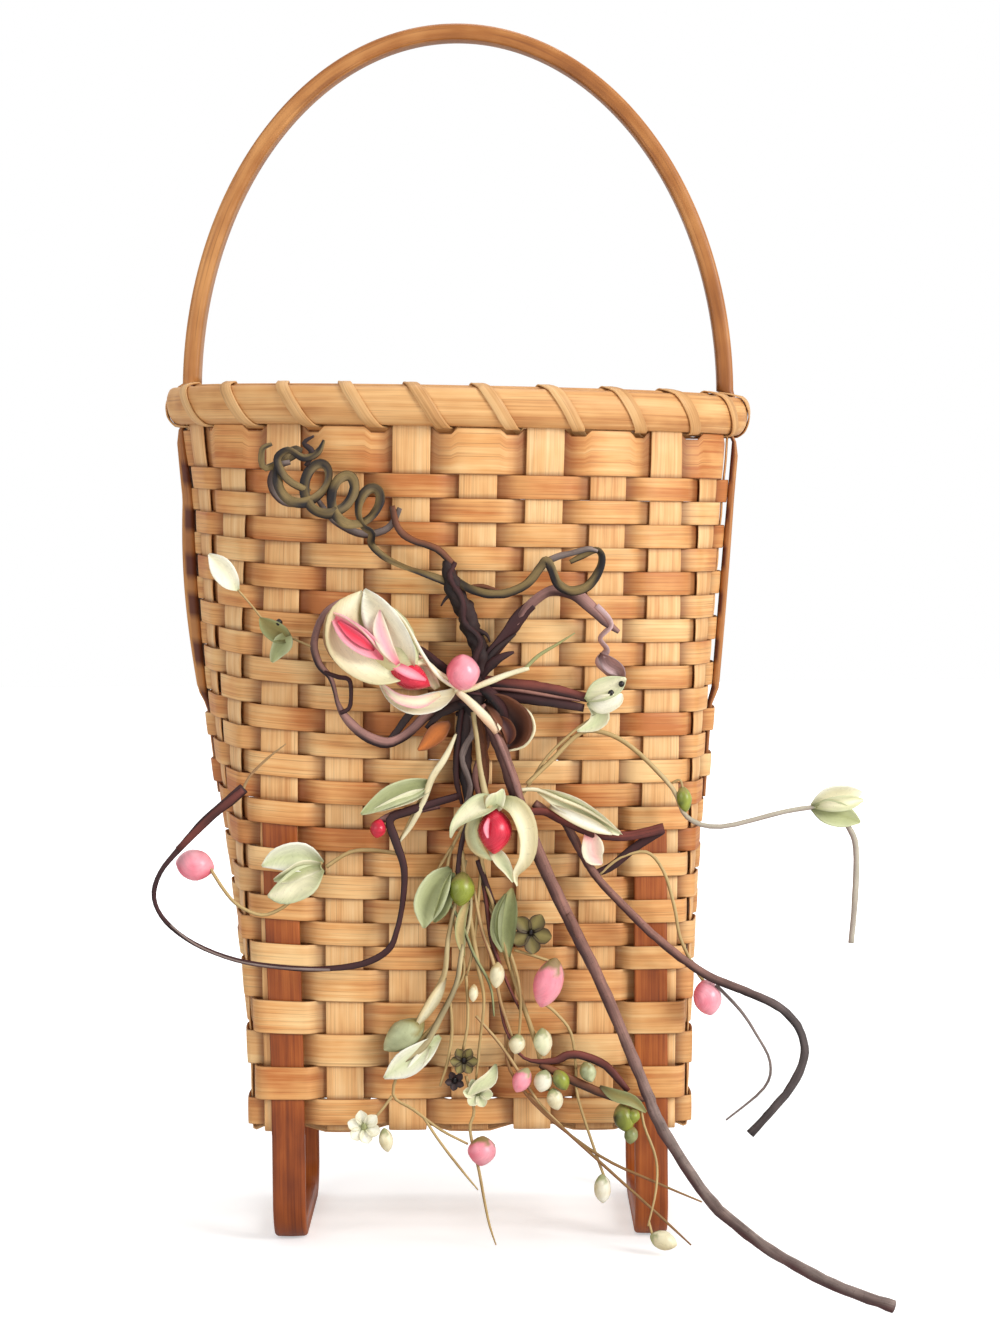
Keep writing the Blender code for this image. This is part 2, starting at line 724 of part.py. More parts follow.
def add_spray():
    add_tie()
    wire(
        "sprig_stem_upper",
        even(((0.5, 10.7), (2.5, 19), (-2, 30), (-6, 42), (-9.5, 51)), 8, 2.6),
        VINE,
    )
    wire("sprig_stem_lower", even(((-0.3, -10.5), (-3, -28), (-1, -49)), 8.4, 2.2), VINE)
    left_start = [(-11.7, 46.8, 8.6, 1.1)]
    left_start += even(((-26, 50.5), (-37.8, 56), (-41, 63)), 10.5, 1.1)
    curl = corkscrew((-36, 70), (-80, 92), 10.5, (7.5, 6), 3.5, 1.1)
    wire("tendril_left", left_start + curl, TENDRIL, 0)
    right_end = ((30.7, 52.4), (34, 52.2), (37.8, 45), (45.2, 41.2), (52.3, 46), (56, 53))
    wire(
        "tendril_right",
        [(-3.6, 43.5, 9.5, 1.3)]
        + even(((5.4, 40.8), (14.5, 40), (23.7, 44)) + right_end, 13, 1.3)
        + [(53, 57, 10, 1.3), (46, 57.5, 9.5, 1.3), (40, 57.5, 9.5, 1.3)],
        TENDRIL,
    )
    bow = ((4.6, 8.6), (14.5, 20.8), (27, 36), (35.3, 40.2), (45.2, 36), (52.3, 29.8), (61.4, 23))
    wire("bow_right", even(bow, 7.5, 2.0), VINE)
    wire(
        "bow_left",
        even(((-7.3, 4.2), (-24, 14), (-44, 30), (-57, 28), (-63.5, 20), (-63, 8)), 7, 2.0)
        + even(((-57, -3), (-48, -13), (-34, -19), (-20, -14), (-9.5, -8.5)), 8, 2.0),
        VINE,
    )
    curl_left = (
        (-25, -50),
        (-34.4, -56),
        (-29, -66),
        (-27.4, -79),
        (-30, -93),
        (-36, -110),
        (-55, -116),
        (-79, -115.6),
        (-97, -114),
        (-115, -107),
        (-127, -98),
        (-132, -86),
        (-124, -70),
        (-110, -57),
        (-94, -41.6),
    )
    wire("curl_left", [(-4.5, -44, 9.3, 1.6)] + even(curl_left, 13, 1.6), VINE)
    wire(
        "long_twig",
        [(4.2, -8.8, 12, 2.2)]
        + even(((12, -29), (23.7, -43), (28, -59), (34, -77), (43, -95)), 15, 2.2)
        + even(((53, -118), (63, -146)), 20, 2.1)
        + [(71, -165.6, 28, 2.0), (77, -179, 40, 2.0), (93, -200, 70, 1.9), (105, -208, 92, 1.8)]
        + [(118, -214.5, 108, 1.7), (138, -222, 126, 1.6), (159, -226.5, 142, 1.4)],
        VINE,
    )
    side_twig = ((25.4, -45.5, 11), (31, -49.5, 9), (38, -54, 9), (45, -67, 9), (52, -78, 9), (64, -91, 9))
    side_twig += ((74, -101, 10),)
    side_end = ((86, -111, 12), (98, -119, 14), (113, -125, 17), (126, -131, 19), (134, -139, 21))
    side_tip = ((137, -150, 23), (132, -163, 24), (123, -174, 25), (114, -184, 25))
    wire("side_twig", [(*p, 1.7) for p in side_twig + side_end + side_tip], VINE)
    wire(
        "upper_flower",
        [(-4.5, 3, 13.6, 0.9), (-14, 10, 17, 1.2), (-20, 15, 19, 4), (-27, 21, 21, 9)]
        + [(-36, 29, 22, 13), (-43, 35, 21, 10), (-48, 39, 19, 4), (-50, 41, 18, 1)],
        BUD,
        2,
    )
    wire(
        "open_pod",
        [(1, -8.2, 14, 0.9), (4, -30, 17, 1.0), (6, -47, 19, 3), (9, -54, 20, 8)]
        + [(11, -61, 20, 8), (13, -67, 19, 3), (14, -72, 18, 1)],
        BUD,
        2,
    )
    wire(
        "right_flower_stem",
        [(22.3, -37, 13.2, 0.8), (33, -27, 10, 0.8), (45, -16, 9, 0.8), (57, -17, 8, 0.8)]
        + [(69, -25, 8, 0.8), (83, -40, 8, 0.8), (89, -52, 9, 0.8), (103, -56, 10, 0.8), (129, -50, 10, 0.8)]
        + [(143, -48, 10, 1.5), (149, -48, 10, 5), (156, -47, 10, 6), (159, -55, 10, 4)]
        + [(160, -66, 10, 0.8), (160, -87, 10, 0.8), (158, -105, 10, 0.8)],
        BUD,
        0,
    )
    wire(
        "left_bud_stem",
        [(-31.3, -66, 12.2, 0.8), (-42, -65, 7, 0.8), (-52, -66, 5, 0.8), (-62, -72, 6, 1)]
        + [(-68, -76, 8, 6), (-76, -79, 8, 8), (-82, -82, 8, 3), (-87, -92, 8, 0.8), (-96, -89, 9, 0.8), (-103, -83, 10, 0.8)]
        + [(-107, -77, 8, 2), (-112, -74, 4, 7), (-118, -72, 3, 7), (-123, -70, 3, 2)],
        BUD,
        0,
    )
    add_berries()


def add_berries():
    """The bunch of berry stems that hangs from under the lower stem."""
    trunk = [(-1, -49.5, 8.4, 1.6), (4, -75, 9, 1.6), (10, -100, 9, 1.6), (18, -125, 9, 1.5)]
    trunk += [(26, -150, 9, 1.4), (30, -168, 9, 1.3)]
    side_stems = [
        [(4, -75, 9, 1.2), (-3, -82, 9, 5), (-6, -90, 9, 1.2), (-14, -108, 8, 1)]
        + [(-22, -130, 8, 1.5), (-26, -141, 8, 6), (-33, -148, 8, 6), (-38, -152, 8, 1.5)],
        [(10, -100, 9, 1.2), (22, -112, 9, 1.2), (28, -119, 9, 5), (32, -125, 9, 6), (36, -131, 9, 2)],
        [(18, -125, 9, 1.2), (4, -140, 8, 1.2), (-4, -155, 8, 4), (-8, -161, 8, 4), (-11, -166, 8, 1)],
        [(18, -125, 9, 1.2), (8, -165, 8, 1.2), (6, -183, 8, 3), (5, -191, 8, 6), (5, -198, 8, 2)],
        [(26, -150, 9, 1.2), (36, -155, 9, 4), (40, -160, 9, 4), (44, -170, 9, 1.2), (54, -186, 9, 1)],
        [(30, -168, 9, 1.2), (42, -182, 9, 1), (52, -192, 9, 3), (55, -204, 9, 3), (57, -210, 9, 1)],
        [(30, -168, 9, 1.2), (55, -199, 14, 0.9), (76, -214, 15, 3), (82, -221, 15, 4), (87, -225, 15, 1)],
    ]
    bunch("berry_stems", [trunk, *side_stems], BUD, 0)


def carry_all():
    """Hangs every piece on one empty, which stands where the basket's middle is."""
    stand = bpy.data.objects.new("stand", None)
    stand.location = (BASKET_X, BASKET_Y, 0)
    for obj in (*PARTS.objects, *CUTTERS.objects):
        obj.parent = stand
    PARTS.objects.link(stand)


add_stakes()
add_weavers()
add_rim()
add_lashing()
add_handle()
add_feet()
add_spray()
carry_all()
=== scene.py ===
import bisect
import math
import random

import bpy
from mathutils import Euler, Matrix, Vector, noise


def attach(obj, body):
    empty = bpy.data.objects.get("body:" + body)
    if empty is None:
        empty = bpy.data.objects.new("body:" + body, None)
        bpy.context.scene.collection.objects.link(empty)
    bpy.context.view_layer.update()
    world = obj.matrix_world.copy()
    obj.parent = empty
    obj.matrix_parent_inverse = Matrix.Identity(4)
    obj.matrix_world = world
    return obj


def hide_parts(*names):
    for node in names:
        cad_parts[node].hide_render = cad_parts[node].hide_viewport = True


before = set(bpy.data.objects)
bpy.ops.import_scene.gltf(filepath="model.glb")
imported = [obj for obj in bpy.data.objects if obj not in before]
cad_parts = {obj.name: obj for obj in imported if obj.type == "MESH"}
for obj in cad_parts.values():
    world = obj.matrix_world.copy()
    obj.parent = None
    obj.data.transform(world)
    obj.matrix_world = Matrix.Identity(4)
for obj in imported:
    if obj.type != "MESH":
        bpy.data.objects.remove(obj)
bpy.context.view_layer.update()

MM = 0.001

# The basket's form, as in the CAD source.
GAP = 0.3 * MM
FRONT_STAKES = 7
SIDE_STAKES = 4
STAKES = 2 * (FRONT_STAKES + SIDE_STAKES)
FRONT_PITCH = 26.4 * MM
SIDE_PITCH = 25 * MM
STAKE_WIDTH = 15.9 * MM
STAKE_THICK = 1.0 * MM
BASE_Z = 48.5 * MM
BASE_HALF_X = FRONT_PITCH * FRONT_STAKES / 2
BASE_HALF_Y = SIDE_PITCH * SIDE_STAKES / 2
BASE_BEND = 1.5 * MM
BEND_START = 0.35 * MM
RIM_Z = 352.5 * MM
RIM_HALF_X = 118 * MM
RIM_HALF_Y = 75 * MM
RIM_SHIFT = -3 * MM
FLARE = 1.3
TWIST = 10 * MM
RIM_TILT = -0.027
LEFT_LIFT = 8 * MM
ROW_BOTTOM = 50.9 * MM
ROW_HEIGHTS = [11.1 * MM] + [13.8 * MM] * 4 + [9.94 * MM] * 21 + [16.66 * MM]
ROW_GAP = 0.5 * MM
WEAVER_THICK = 0.9 * MM
WEAVER_EASE = 0.8 * MM
WEAVER_GAP = 0.56 * MM
WEAVER_OUT = STAKE_THICK / 2 + WEAVER_GAP + WEAVER_THICK / 2
RIDER_WIDTH = 14 * MM
RIDER_THICK = 2 * MM
RIDER_IN = STAKE_THICK / 2 + GAP
RIDER_OUT = RIDER_IN + RIDER_THICK + GAP + WEAVER_THICK / 2
FOOT_X = 77 * MM
FOOT_STAKE_FRONT = {1: 3, -1: -3}
FOOT_STAKE_BACK = {1: 8, -1: 14}
FOOT_ROWS = 12
FOOT_TOP = 185.5 * MM
FOOT_THICK = 6 * MM
FOOT_BEND = 18 * MM
FOOT_SHOULDER = BASE_Z - STAKE_THICK / 2 - GAP
HANDLE_STAKES = (5, 16)
HANDLE_CENTRE_X = -2.8 * MM
HANDLE_HALF_X = 116 * MM
HANDLE_RISE = 156 * MM
HANDLE_FOOT_Z = 360.9 * MM
HANDLE_WIDTH = 14 * MM
HANDLE_THICK = 7 * MM
HANDLE_YAW = 1.9
TAIL_THICK = 3 * MM
TAIL_IN = WEAVER_OUT + WEAVER_THICK / 2 + GAP
TAIL_IN_RIM = 1.8 * MM
TAIL_TOP_ROW = {5: 16, 16: 15}
TAIL_ROWS = {5: (14, 16), 16: (13, 15)}
TAIL_END = {5: 187.5 * MM, 16: 181.5 * MM}
RIM_LEAN = 0.11
HOOP_LOW = 345.4 * MM
HOOP_HIGH = 363 * MM
OUTER_HOOP_IN = 2.0 * MM
OUTER_HOOP_THICK = 4.5 * MM
INNER_HOOP_OUT = -1.5 * MM
INNER_HOOP_THICK = 3.5 * MM
HANDLE_BULGE = 1.6 * MM
BULGE_REACH = 22 * MM
REED_RADIUS = 1.5 * MM
REED_OUT = -1.9 * MM
LASH_THICK = 0.8 * MM
LASH_HANDLE_SHIFT = -12 * MM
# The shift of the lashing beside the handle starts half a turn away and is full after this share.
LASH_SHIFT_FROM = 0.5
LASH_SHIFT_OVER = 0.4
KNOT_X = 3 * MM
KNOT_Z = 234.5 * MM
# Where the basket's middle stands in the part's frame.
BASKET = Vector((-17.6 * MM, 54.545 * MM, 0))

# The rim as it shows: pulled tight, with the hoops' tops, the reed and the lashing lower.
HOOP_TOP = HOOP_HIGH - 1.4 * MM
HOOP_TOP_INSIDE = HOOP_HIGH - 3.2 * MM
REED_SHOWN = 1.9 * MM
REED_LOW = HOOP_HIGH - 2.3 * MM
LASH_SHOWN = 5.3 * MM
LASH_OFF = LASH_THICK / 2 + 0.22 * MM
STAKE_SHOWN_TOP = 359 * MM
# The angles in degrees at which the bow of the handle goes over into its right and left tails.
BOW_RIGHT = 0.3
BOW_LEFT = 2.2
# How far the left wall fills out at most, from which share of its height, and over how much of it.
LEFT_SWELL = 8 * MM
SWELL_FROM = 0.1
SWELL_OVER = 0.76
# The left side of the handle is paler, from this section after its right tail over this many more.
PALE_FROM = 92
PALE_OVER = 46
# How far the tails bow out from the wall: from and to these heights, by this much at most.
TAIL_BOW = {5: (234 * MM, 318 * MM, 0.4 * MM), 16: (222 * MM, 348 * MM, 2.4 * MM)}

# Where a tail leaves the wall's line towards the rim, where it has thinned to pass through it, up to
# where it stays close behind the hoop, and where it goes over into the bow.
TAIL_STRAIGHT_TOP = HOOP_LOW - 9 * MM
TAIL_THIN_FROM = HOOP_LOW - 2.8 * MM
TAIL_CLOSE_TO = HOOP_TOP - 1 * MM
TAIL_TO_BOW = HOOP_TOP + 0.6 * MM

# Where a foot's arm goes over into its leg, and the heights of the leg's sections.
FOOT_ARM_LOW = BASE_Z + 4 * MM
FOOT_LEG = (FOOT_SHOULDER - 1.5 * MM, 34 * MM, 26 * MM)

# How finely the visible pieces are drawn.
ELLIPSE_STEPS = 1440
STAKE_STEP = 2.4 * MM
TAIL_STEPS = 44
BOW_STEPS = 140
ARM_STEP = 5 * MM
FOOT_ARC_STEPS = 12
REED_SIDES = 10
SPIRAL_STEPS = 14
WRAP_STEPS = 12
BUD_RINGS = 12
BUD_SIDES = 12
FLAT_STEPS = 5
CHORD_STEPS = 4
RIM_STATIONS = 240
LASH_STEPS = 2
# How often the place of a point of the picture is worked out again with its new height.
SEEN_ROUNDS = 8
# The distance to each side over which a direction along the rim is read.
NEAR = 1 * MM

# How much painted shade a place gets: where a splint lies behind another, at the ends of where a row
# lies over a stake, and on a row's way from front to back, where it starts and what it gains; on a
# stake above the rows, at the ends of where it lies over a row, and in the base; and on a tail of the
# handle where the row beside it goes before its stake or behind it.
HIDDEN_SHADE = 0.9
ROW_END_SHADE = 0.12
SLOPE_SHADE = 0.1
SLOPE_SHADE_GAIN = 0.82
STAKE_SHADE = 0.2
STAKE_END_SHADE = 0.15
BASE_SHADE = 0.3
TAIL_SHADE = 0.3
TAIL_HIDDEN_SHADE = 1.2

# How far a row bulges where it lies over or under a stake, and a stake over or under a row.
PILLOW = 0.28 * MM
STAKE_PILLOW = 0.22 * MM
STAKE_DENT = 0.15 * MM
# How far the height of a row and the face of a hoop wander.
RIPPLE = 0.12 * MM
# How far a row reaches into the seam above it, and the top row towards the hoop.
SEAM_CLOSE = 0.42 * MM
TOP_ROW_RISE = 2.6 * MM
# How far from a splint's middle, as a share of its width, the painted shade of its edge in the seam starts,
# and how dark it is.
SEAM_FROM = 0.48
SEAM_SHADE = 0.95

# The view: where the camera is, how it is turned, its lens, and the picture's size in pixels.
EYE = Vector((14.3 * MM, -1354 * MM, 315.3 * MM))
GAZE = Euler((math.radians(90 - 3.08), math.radians(0.5), math.radians(-0.037)))
LENS = 83.71
SENSOR = 36
WIDE = 1000
TALL = 1333
# The floor: half its width, and its height, just under the feet.
FLOOR_HALF = 4.0
FLOOR_Z = -0.3 * MM

random.seed(11)


def clamp(share):
    return min(max(share, 0.0), 1.0)


def smooth(x):
    x = clamp(x)
    return x * x * (3 - 2 * x)


def level(z):
    """How far up the wall a height is, from 0 at the base to 1 at the rim."""
    return (z - BASE_Z) / (RIM_Z - BASE_Z)


def share_at(t):
    """How far the wall has gone over from the base's outline to the rim's."""
    return max(t, 0.0) ** FLARE


def ellipse_lengths(steps):
    lengths = [0.0]
    for step in range(steps):
        angle = (step + 0.5) * math.tau / steps
        speed = math.hypot(RIM_HALF_X * math.cos(angle), RIM_HALF_Y * math.sin(angle))
        lengths.append(lengths[-1] + speed * math.tau / steps)
    return lengths


RIM_LENGTHS = ellipse_lengths(ELLIPSE_STEPS)
PERIMETER = RIM_LENGTHS[-1]
PITCH = PERIMETER / STAKES


def rim_angle(arc):
    """The angle of the rim's ellipse at a length along it."""
    turns = math.floor(arc / PERIMETER)
    rest = arc - turns * PERIMETER
    step = min(bisect.bisect_right(RIM_LENGTHS, rest), len(RIM_LENGTHS) - 1) - 1
    part = (rest - RIM_LENGTHS[step]) / (RIM_LENGTHS[step + 1] - RIM_LENGTHS[step])
    return math.tau * (turns + (step + part) / (len(RIM_LENGTHS) - 1))


def base_place(i):
    """Where a stake turns up from the base, and its heading. Stake 0 is at the middle of the front."""
    half = FRONT_STAKES // 2
    corner = half + SIDE_STAKES
    if i <= half:
        return Vector((i * FRONT_PITCH, -BASE_HALF_Y)), 0.0
    if i <= corner:
        return Vector((BASE_HALF_X, (i - (half + corner + 1) / 2) * SIDE_PITCH)), math.pi / 2
    if i <= corner + FRONT_STAKES:
        return Vector(((STAKES / 2 - i) * FRONT_PITCH, BASE_HALF_Y)), math.pi
    middle = corner + FRONT_STAKES + (SIDE_STAKES + 1) / 2
    return Vector((-BASE_HALF_X, (middle - i) * SIDE_PITCH)), 3 * math.pi / 2


def rim_place(i, heading):
    angle = rim_angle(TWIST + i * PITCH)
    place = Vector((RIM_SHIFT + RIM_HALF_X * math.sin(angle), -RIM_HALF_Y * math.cos(angle)))
    found = math.atan2(RIM_HALF_Y * math.sin(angle), RIM_HALF_X * math.cos(angle))
    found += math.tau * round((heading - found) / math.tau)
    return place, found


PLACES = {}
for stake in range(-(FRONT_STAKES // 2), STAKES - FRONT_STAKES // 2):
    start, start_heading = base_place(stake)
    PLACES[stake] = (start, start_heading, *rim_place(stake, start_heading))


def tilted(x, y, z, t):
    """A point of the wall with the lean of the rim and the fuller left side."""
    left = max(0.0, -x / RIM_HALF_X)
    lift = LEFT_LIFT * math.sin(math.pi * clamp(t)) * left ** 3
    swell = LEFT_SWELL * math.sin(math.pi * clamp((t - SWELL_FROM) / SWELL_OVER)) * left ** 4
    return Vector((x - swell, y, z + RIM_TILT * t * x + lift))


def stake_frame(i, t):
    i = (i + FRONT_STAKES // 2) % STAKES - FRONT_STAKES // 2
    start, start_heading, end, end_heading = PLACES[i]
    share = share_at(t)
    centre = start + (end - start) * share
    heading = start_heading + (end_heading - start_heading) * share
    across = Vector((math.cos(heading), math.sin(heading)))
    outward = Vector((math.sin(heading), -math.cos(heading)))
    return centre, across, outward


def wall(i, t, along, out):
    """A point beside stake i: along the wall to the right, and outwards from it."""
    centre, across, outward = stake_frame(i, t)
    place = centre + across * along + outward * out
    return tilted(place.x, place.y, BASE_Z + t * (RIM_Z - BASE_Z), t)


def foot_along(i, t):
    """How far beside stake i the arm of a foot runs."""
    centre, across, _ = stake_frame(i, t)
    target = math.copysign(FOOT_X, centre.x)
    return (target - centre.x) / across.x


def rim_point(angle, z, out):
    normal = Vector((math.sin(angle) / RIM_HALF_X, -math.cos(angle) / RIM_HALF_Y)).normalized()
    reach = out + RIM_LEAN * (z - RIM_Z)
    x = RIM_SHIFT + RIM_HALF_X * math.sin(angle) + normal.x * reach
    y = -RIM_HALF_Y * math.cos(angle) + normal.y * reach
    return tilted(x, y, z, 1.0)


def handle_bulge(angle):
    """How far the outer hoop bulges out over a tail of the handle."""
    share = 0.0
    for i in HANDLE_STAKES:
        middle = rim_angle(TWIST + i * PITCH)
        away = math.hypot(
            RIM_HALF_X * (math.sin(angle) - math.sin(middle)),
            RIM_HALF_Y * (math.cos(angle) - math.cos(middle)),
        )
        share = max(share, min(1.0, 2 - 2 * away / BULGE_REACH))
    return HANDLE_BULGE * smooth(share)


def row_edges(row):
    """The heights of a row's lower and upper edge. Row 1 is the lowest."""
    bottom = ROW_BOTTOM + sum(ROW_HEIGHTS[: row - 1])
    return bottom, bottom + ROW_HEIGHTS[row - 1] - ROW_GAP


def noise_at(*place):
    return noise.noise(Vector(place))


def wander(along, seed, scale):
    """A gentle wander between about -1 and 1 along a piece."""
    return noise_at(along * scale, seed * 7.3, 0.5)


def lengths(places):
    """How far along a line each of its places lies."""
    along = [0.0]
    for before, place in zip(places, places[1:]):
        along.append(along[-1] + (place - before).length)
    return along


# Materials.


def lin(red, green, blue):
    """A display colour, 0 to 255, as the linear colour that a shader takes."""
    made = []
    for value in (red, green, blue):
        share = value / 255
        made.append(share / 12.92 if share <= 0.04045 else ((share + 0.055) / 1.055) ** 2.4)
    return (*made, 1.0)


class Nodes:
    """A short way to wire a material or a world."""

    def __init__(self, owner):
        owner.use_nodes = True
        self.tree = owner.node_tree

    def add(self, kind, **values):
        """A node with its settings and inputs. An input's name has underscores for its spaces."""
        node = self.tree.nodes.new("ShaderNode" + kind)
        for key, value in values.items():
            if hasattr(node, key):
                setattr(node, key, value)
            else:
                self.put(node.inputs[key.replace("_", " ")], value)
        return node

    def put(self, socket, value):
        if isinstance(value, bpy.types.NodeSocket):
            self.tree.links.new(value, socket)
        else:
            socket.default_value = value

    def math(self, operation, *values, clamp=False):
        node = self.add("Math", operation=operation, use_clamp=clamp)
        for socket, value in zip(node.inputs, values):
            self.put(socket, value)
        return node.outputs[0]

    def vector(self, operation, first, second):
        node = self.add("VectorMath", operation=operation)
        self.put(node.inputs[0], first)
        self.put(node.inputs["Scale" if operation == "SCALE" else 1], second)
        return node.outputs[0]

    def mix(self, share, first, second):
        node = self.add("Mix", data_type="RGBA")
        for place, value in ((0, share), (6, first), (7, second)):
            self.put(node.inputs[place], value)
        return node.outputs[2]

    def span(self, value, low, high, to_low, to_high, curve="LINEAR"):
        node = self.add("MapRange", Value=value, From_Min=low, From_Max=high, To_Min=to_low, To_Max=to_high)
        node.interpolation_type = curve
        return node.outputs[0]

    def ramp(self, share, stops):
        node = self.add("ValToRGB")
        self.put(node.inputs[0], share)
        ramp = node.color_ramp
        while len(ramp.elements) < len(stops):
            ramp.elements.new(1.0)
        for element, (place, colour) in zip(ramp.elements, stops):
            element.position = place
            element.color = colour
        return node.outputs[0]

    def attribute(self, name, output):
        return self.add("Attribute", attribute_name=name).outputs[output]

    def noise(self, vector, scale, detail=2.0, rough=0.55):
        return self.add("TexNoise", Vector=vector, Scale=scale, Detail=detail, Roughness=rough).outputs[0]

    def streaks(self, grain, stretch, detail=2.0, rough=0.55):
        return self.noise(self.vector("MULTIPLY", grain, stretch), 1.0, detail, rough)

    def finish(self, colour, roughness, height, distance):
        shader = self.tree.nodes["Principled BSDF"]
        bump = self.add("Bump", Strength=1.0, Distance=distance, Height=height)
        for name, value in (("Base Color", colour), ("Roughness", roughness), ("Specular IOR Level", 0.4)):
            self.put(shader.inputs[name], value)
        self.put(shader.inputs["Normal"], bump.outputs[0])


def wood(name, light, mid, low, dark, gloss=0.5, bump=0.12 * MM):
    """Split wood: fine streaks along the fibre, softer blotches, and painted shade where a point is marked
    for it, as where the wood turns away under another piece.
    """
    material = bpy.data.materials.new(name)
    made = Nodes(material)
    grain = made.attribute("grain", "Vector")
    tone = made.attribute("tone", "Fac")
    painted_shade = made.attribute("painted_shade", "Fac")
    fine = made.streaks(grain, (22, 900, 1), 4.0, 0.6)
    coarse = made.streaks(grain, (9, 220, 1))
    blotch = made.streaks(grain, (45, 70, 1))
    share = made.math("MULTIPLY", fine, 0.34)
    share = made.math("ADD", share, made.math("MULTIPLY", coarse, 0.36))
    share = made.math("ADD", share, made.math("MULTIPLY", blotch, 0.3))
    share = made.math("MULTIPLY_ADD", share, 2.6, -0.8)
    share = made.math("ADD", share, made.math("MULTIPLY", tone, 0.45))
    colour = made.ramp(share, ((0.1, lin(*low)), (0.5, lin(*mid)), (0.95, lin(*light))))
    thin = made.math("SUBTRACT", made.streaks(grain, (16, 2300, 1)), 0.57)
    hair = made.math("MULTIPLY", made.math("MULTIPLY", thin, 9.0, clamp=True), 0.34)
    colour = made.mix(hair, colour, lin(*dark))
    # Painted shade: the marked points are mixed towards the dark colour.
    colour = made.mix(made.math("MULTIPLY", painted_shade, 0.75, clamp=True), colour, lin(*dark))
    made.finish(colour, made.math("MULTIPLY_ADD", fine, 0.3, gloss - 0.1), fine, bump)
    return material


WEAVER_LOOK = wood("weaver_reed", (242, 200, 140), (222, 162, 98), (188, 112, 54), (104, 48, 14))
STAKE_LOOK = wood("stake_reed", (242, 204, 150), (226, 174, 114), (196, 130, 72), (104, 48, 14))
HOOP_LOOK = wood("hoop_reed", (236, 190, 130), (212, 156, 96), (172, 108, 56), (120, 62, 24))
LASH_LOOK = wood("lash_cane", (228, 184, 128), (202, 152, 96), (168, 112, 60), (112, 58, 24))
HANDLE_LOOK = wood(
    "handle_ash", (200, 140, 80), (162, 100, 46), (122, 68, 26), (74, 14, 6), 0.42, 0.06 * MM
)
FOOT_LOOK = wood("foot_ash", (184, 102, 42), (146, 70, 20), (104, 42, 8), (60, 18, 5), 0.38, 0.08 * MM)


# Meshes.

# The name of the numbers in each kind of value that a point carries.
FIELDS = {"FLOAT": "value", "FLOAT_VECTOR": "vector", "FLOAT_COLOR": "color"}


def tube_faces(rows, count, first, closed):
    """The faces that join rows of points, each a ring, with two ends unless the tube is closed."""
    faces = []
    for k in range(rows if closed else rows - 1):
        here = first + k * count
        there = first + (k + 1) % rows * count
        for j in range(count):
            after = (j + 1) % count
            faces.append((here + j, here + after, there + after, there + j))
    if not closed:
        last = first + (rows - 1) * count
        faces.append(tuple(range(first, first + count))[::-1])
        faces.append(tuple(range(last, last + count)))
    return faces


def add_mesh(name, points, faces, look, values):
    """A smooth mesh on the root body, with the values that its points carry."""
    mesh = bpy.data.meshes.new(name)
    mesh.from_pydata([tuple(point + BASKET) for point in points], [], faces)
    mesh.polygons.foreach_set("use_smooth", [True] * len(mesh.polygons))
    for key, kind, numbers in values:
        layer = mesh.attributes.new(key, kind, "POINT")
        layer.data.foreach_set(FIELDS[kind], numbers)
    mesh.materials.append(look)
    mesh.update()
    obj = bpy.data.objects.new(name, mesh)
    bpy.context.scene.collection.objects.link(obj)
    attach(obj, "root")
    return obj


def loft(name, sections, look, closed, marks):
    """A skin through rows of points. marks gives each point its grain, tone and painted shade."""
    points = [point for section in sections for point in section]
    values = (
        ("grain", "FLOAT_VECTOR", [number for mark in marks for number in mark[0]]),
        ("tone", "FLOAT", [mark[1] for mark in marks]),
        ("painted_shade", "FLOAT", [mark[2] for mark in marks]),
    )
    faces = tube_faces(len(sections), len(sections[0]), 0, closed)
    return add_mesh(name, points, faces, look, values)


# The cross-section of a splint: its width from -0.5 to 0.5, and its thickness.
SPLINT = (
    (-0.5, -0.1), (-0.497, 0.22), (-0.47, 0.42), (-0.3, 0.5), (0.0, 0.54), (0.3, 0.5),
    (0.47, 0.42), (0.497, 0.22), (0.5, -0.1), (0.46, -0.42), (0.0, -0.5), (-0.46, -0.42),
)


def strip(line, size, seed, play, tone):
    """Sections and marks of a flat splint along a line of places, each with its directions across
    and outward and its painted shade. size is its width and thickness, play how much and how finely its
    width varies, and tone its colour, how much that varies, another seed, and how finely."""
    sections, marks = [], []
    for along, (place, across, outward, painted_shade) in zip(lengths([spot[0] for spot in line]), line):
        width = size[0] * (1 + play[0] * wander(along, seed, play[1]))
        shade = tone[0] + tone[1] * wander(along, seed + tone[2], tone[3])
        section = []
        for share, thick in SPLINT:
            section.append(place + across * share * width + outward * thick * size[1])
            marks.append(((along, share * width, seed), shade, painted_shade))
        sections.append(section)
    return sections, marks


def rider_here(i, t, row):
    """Where a foot's arm or a tail of the handle lies on stake i under a row, or None."""
    index = i % STAKES
    feet = [stake % STAKES for stake in (*FOOT_STAKE_FRONT.values(), *FOOT_STAKE_BACK.values())]
    if index in feet and row <= FOOT_ROWS:
        return foot_along(i, t)
    if row in TAIL_ROWS.get(index, ()):
        return 0.0
    return None


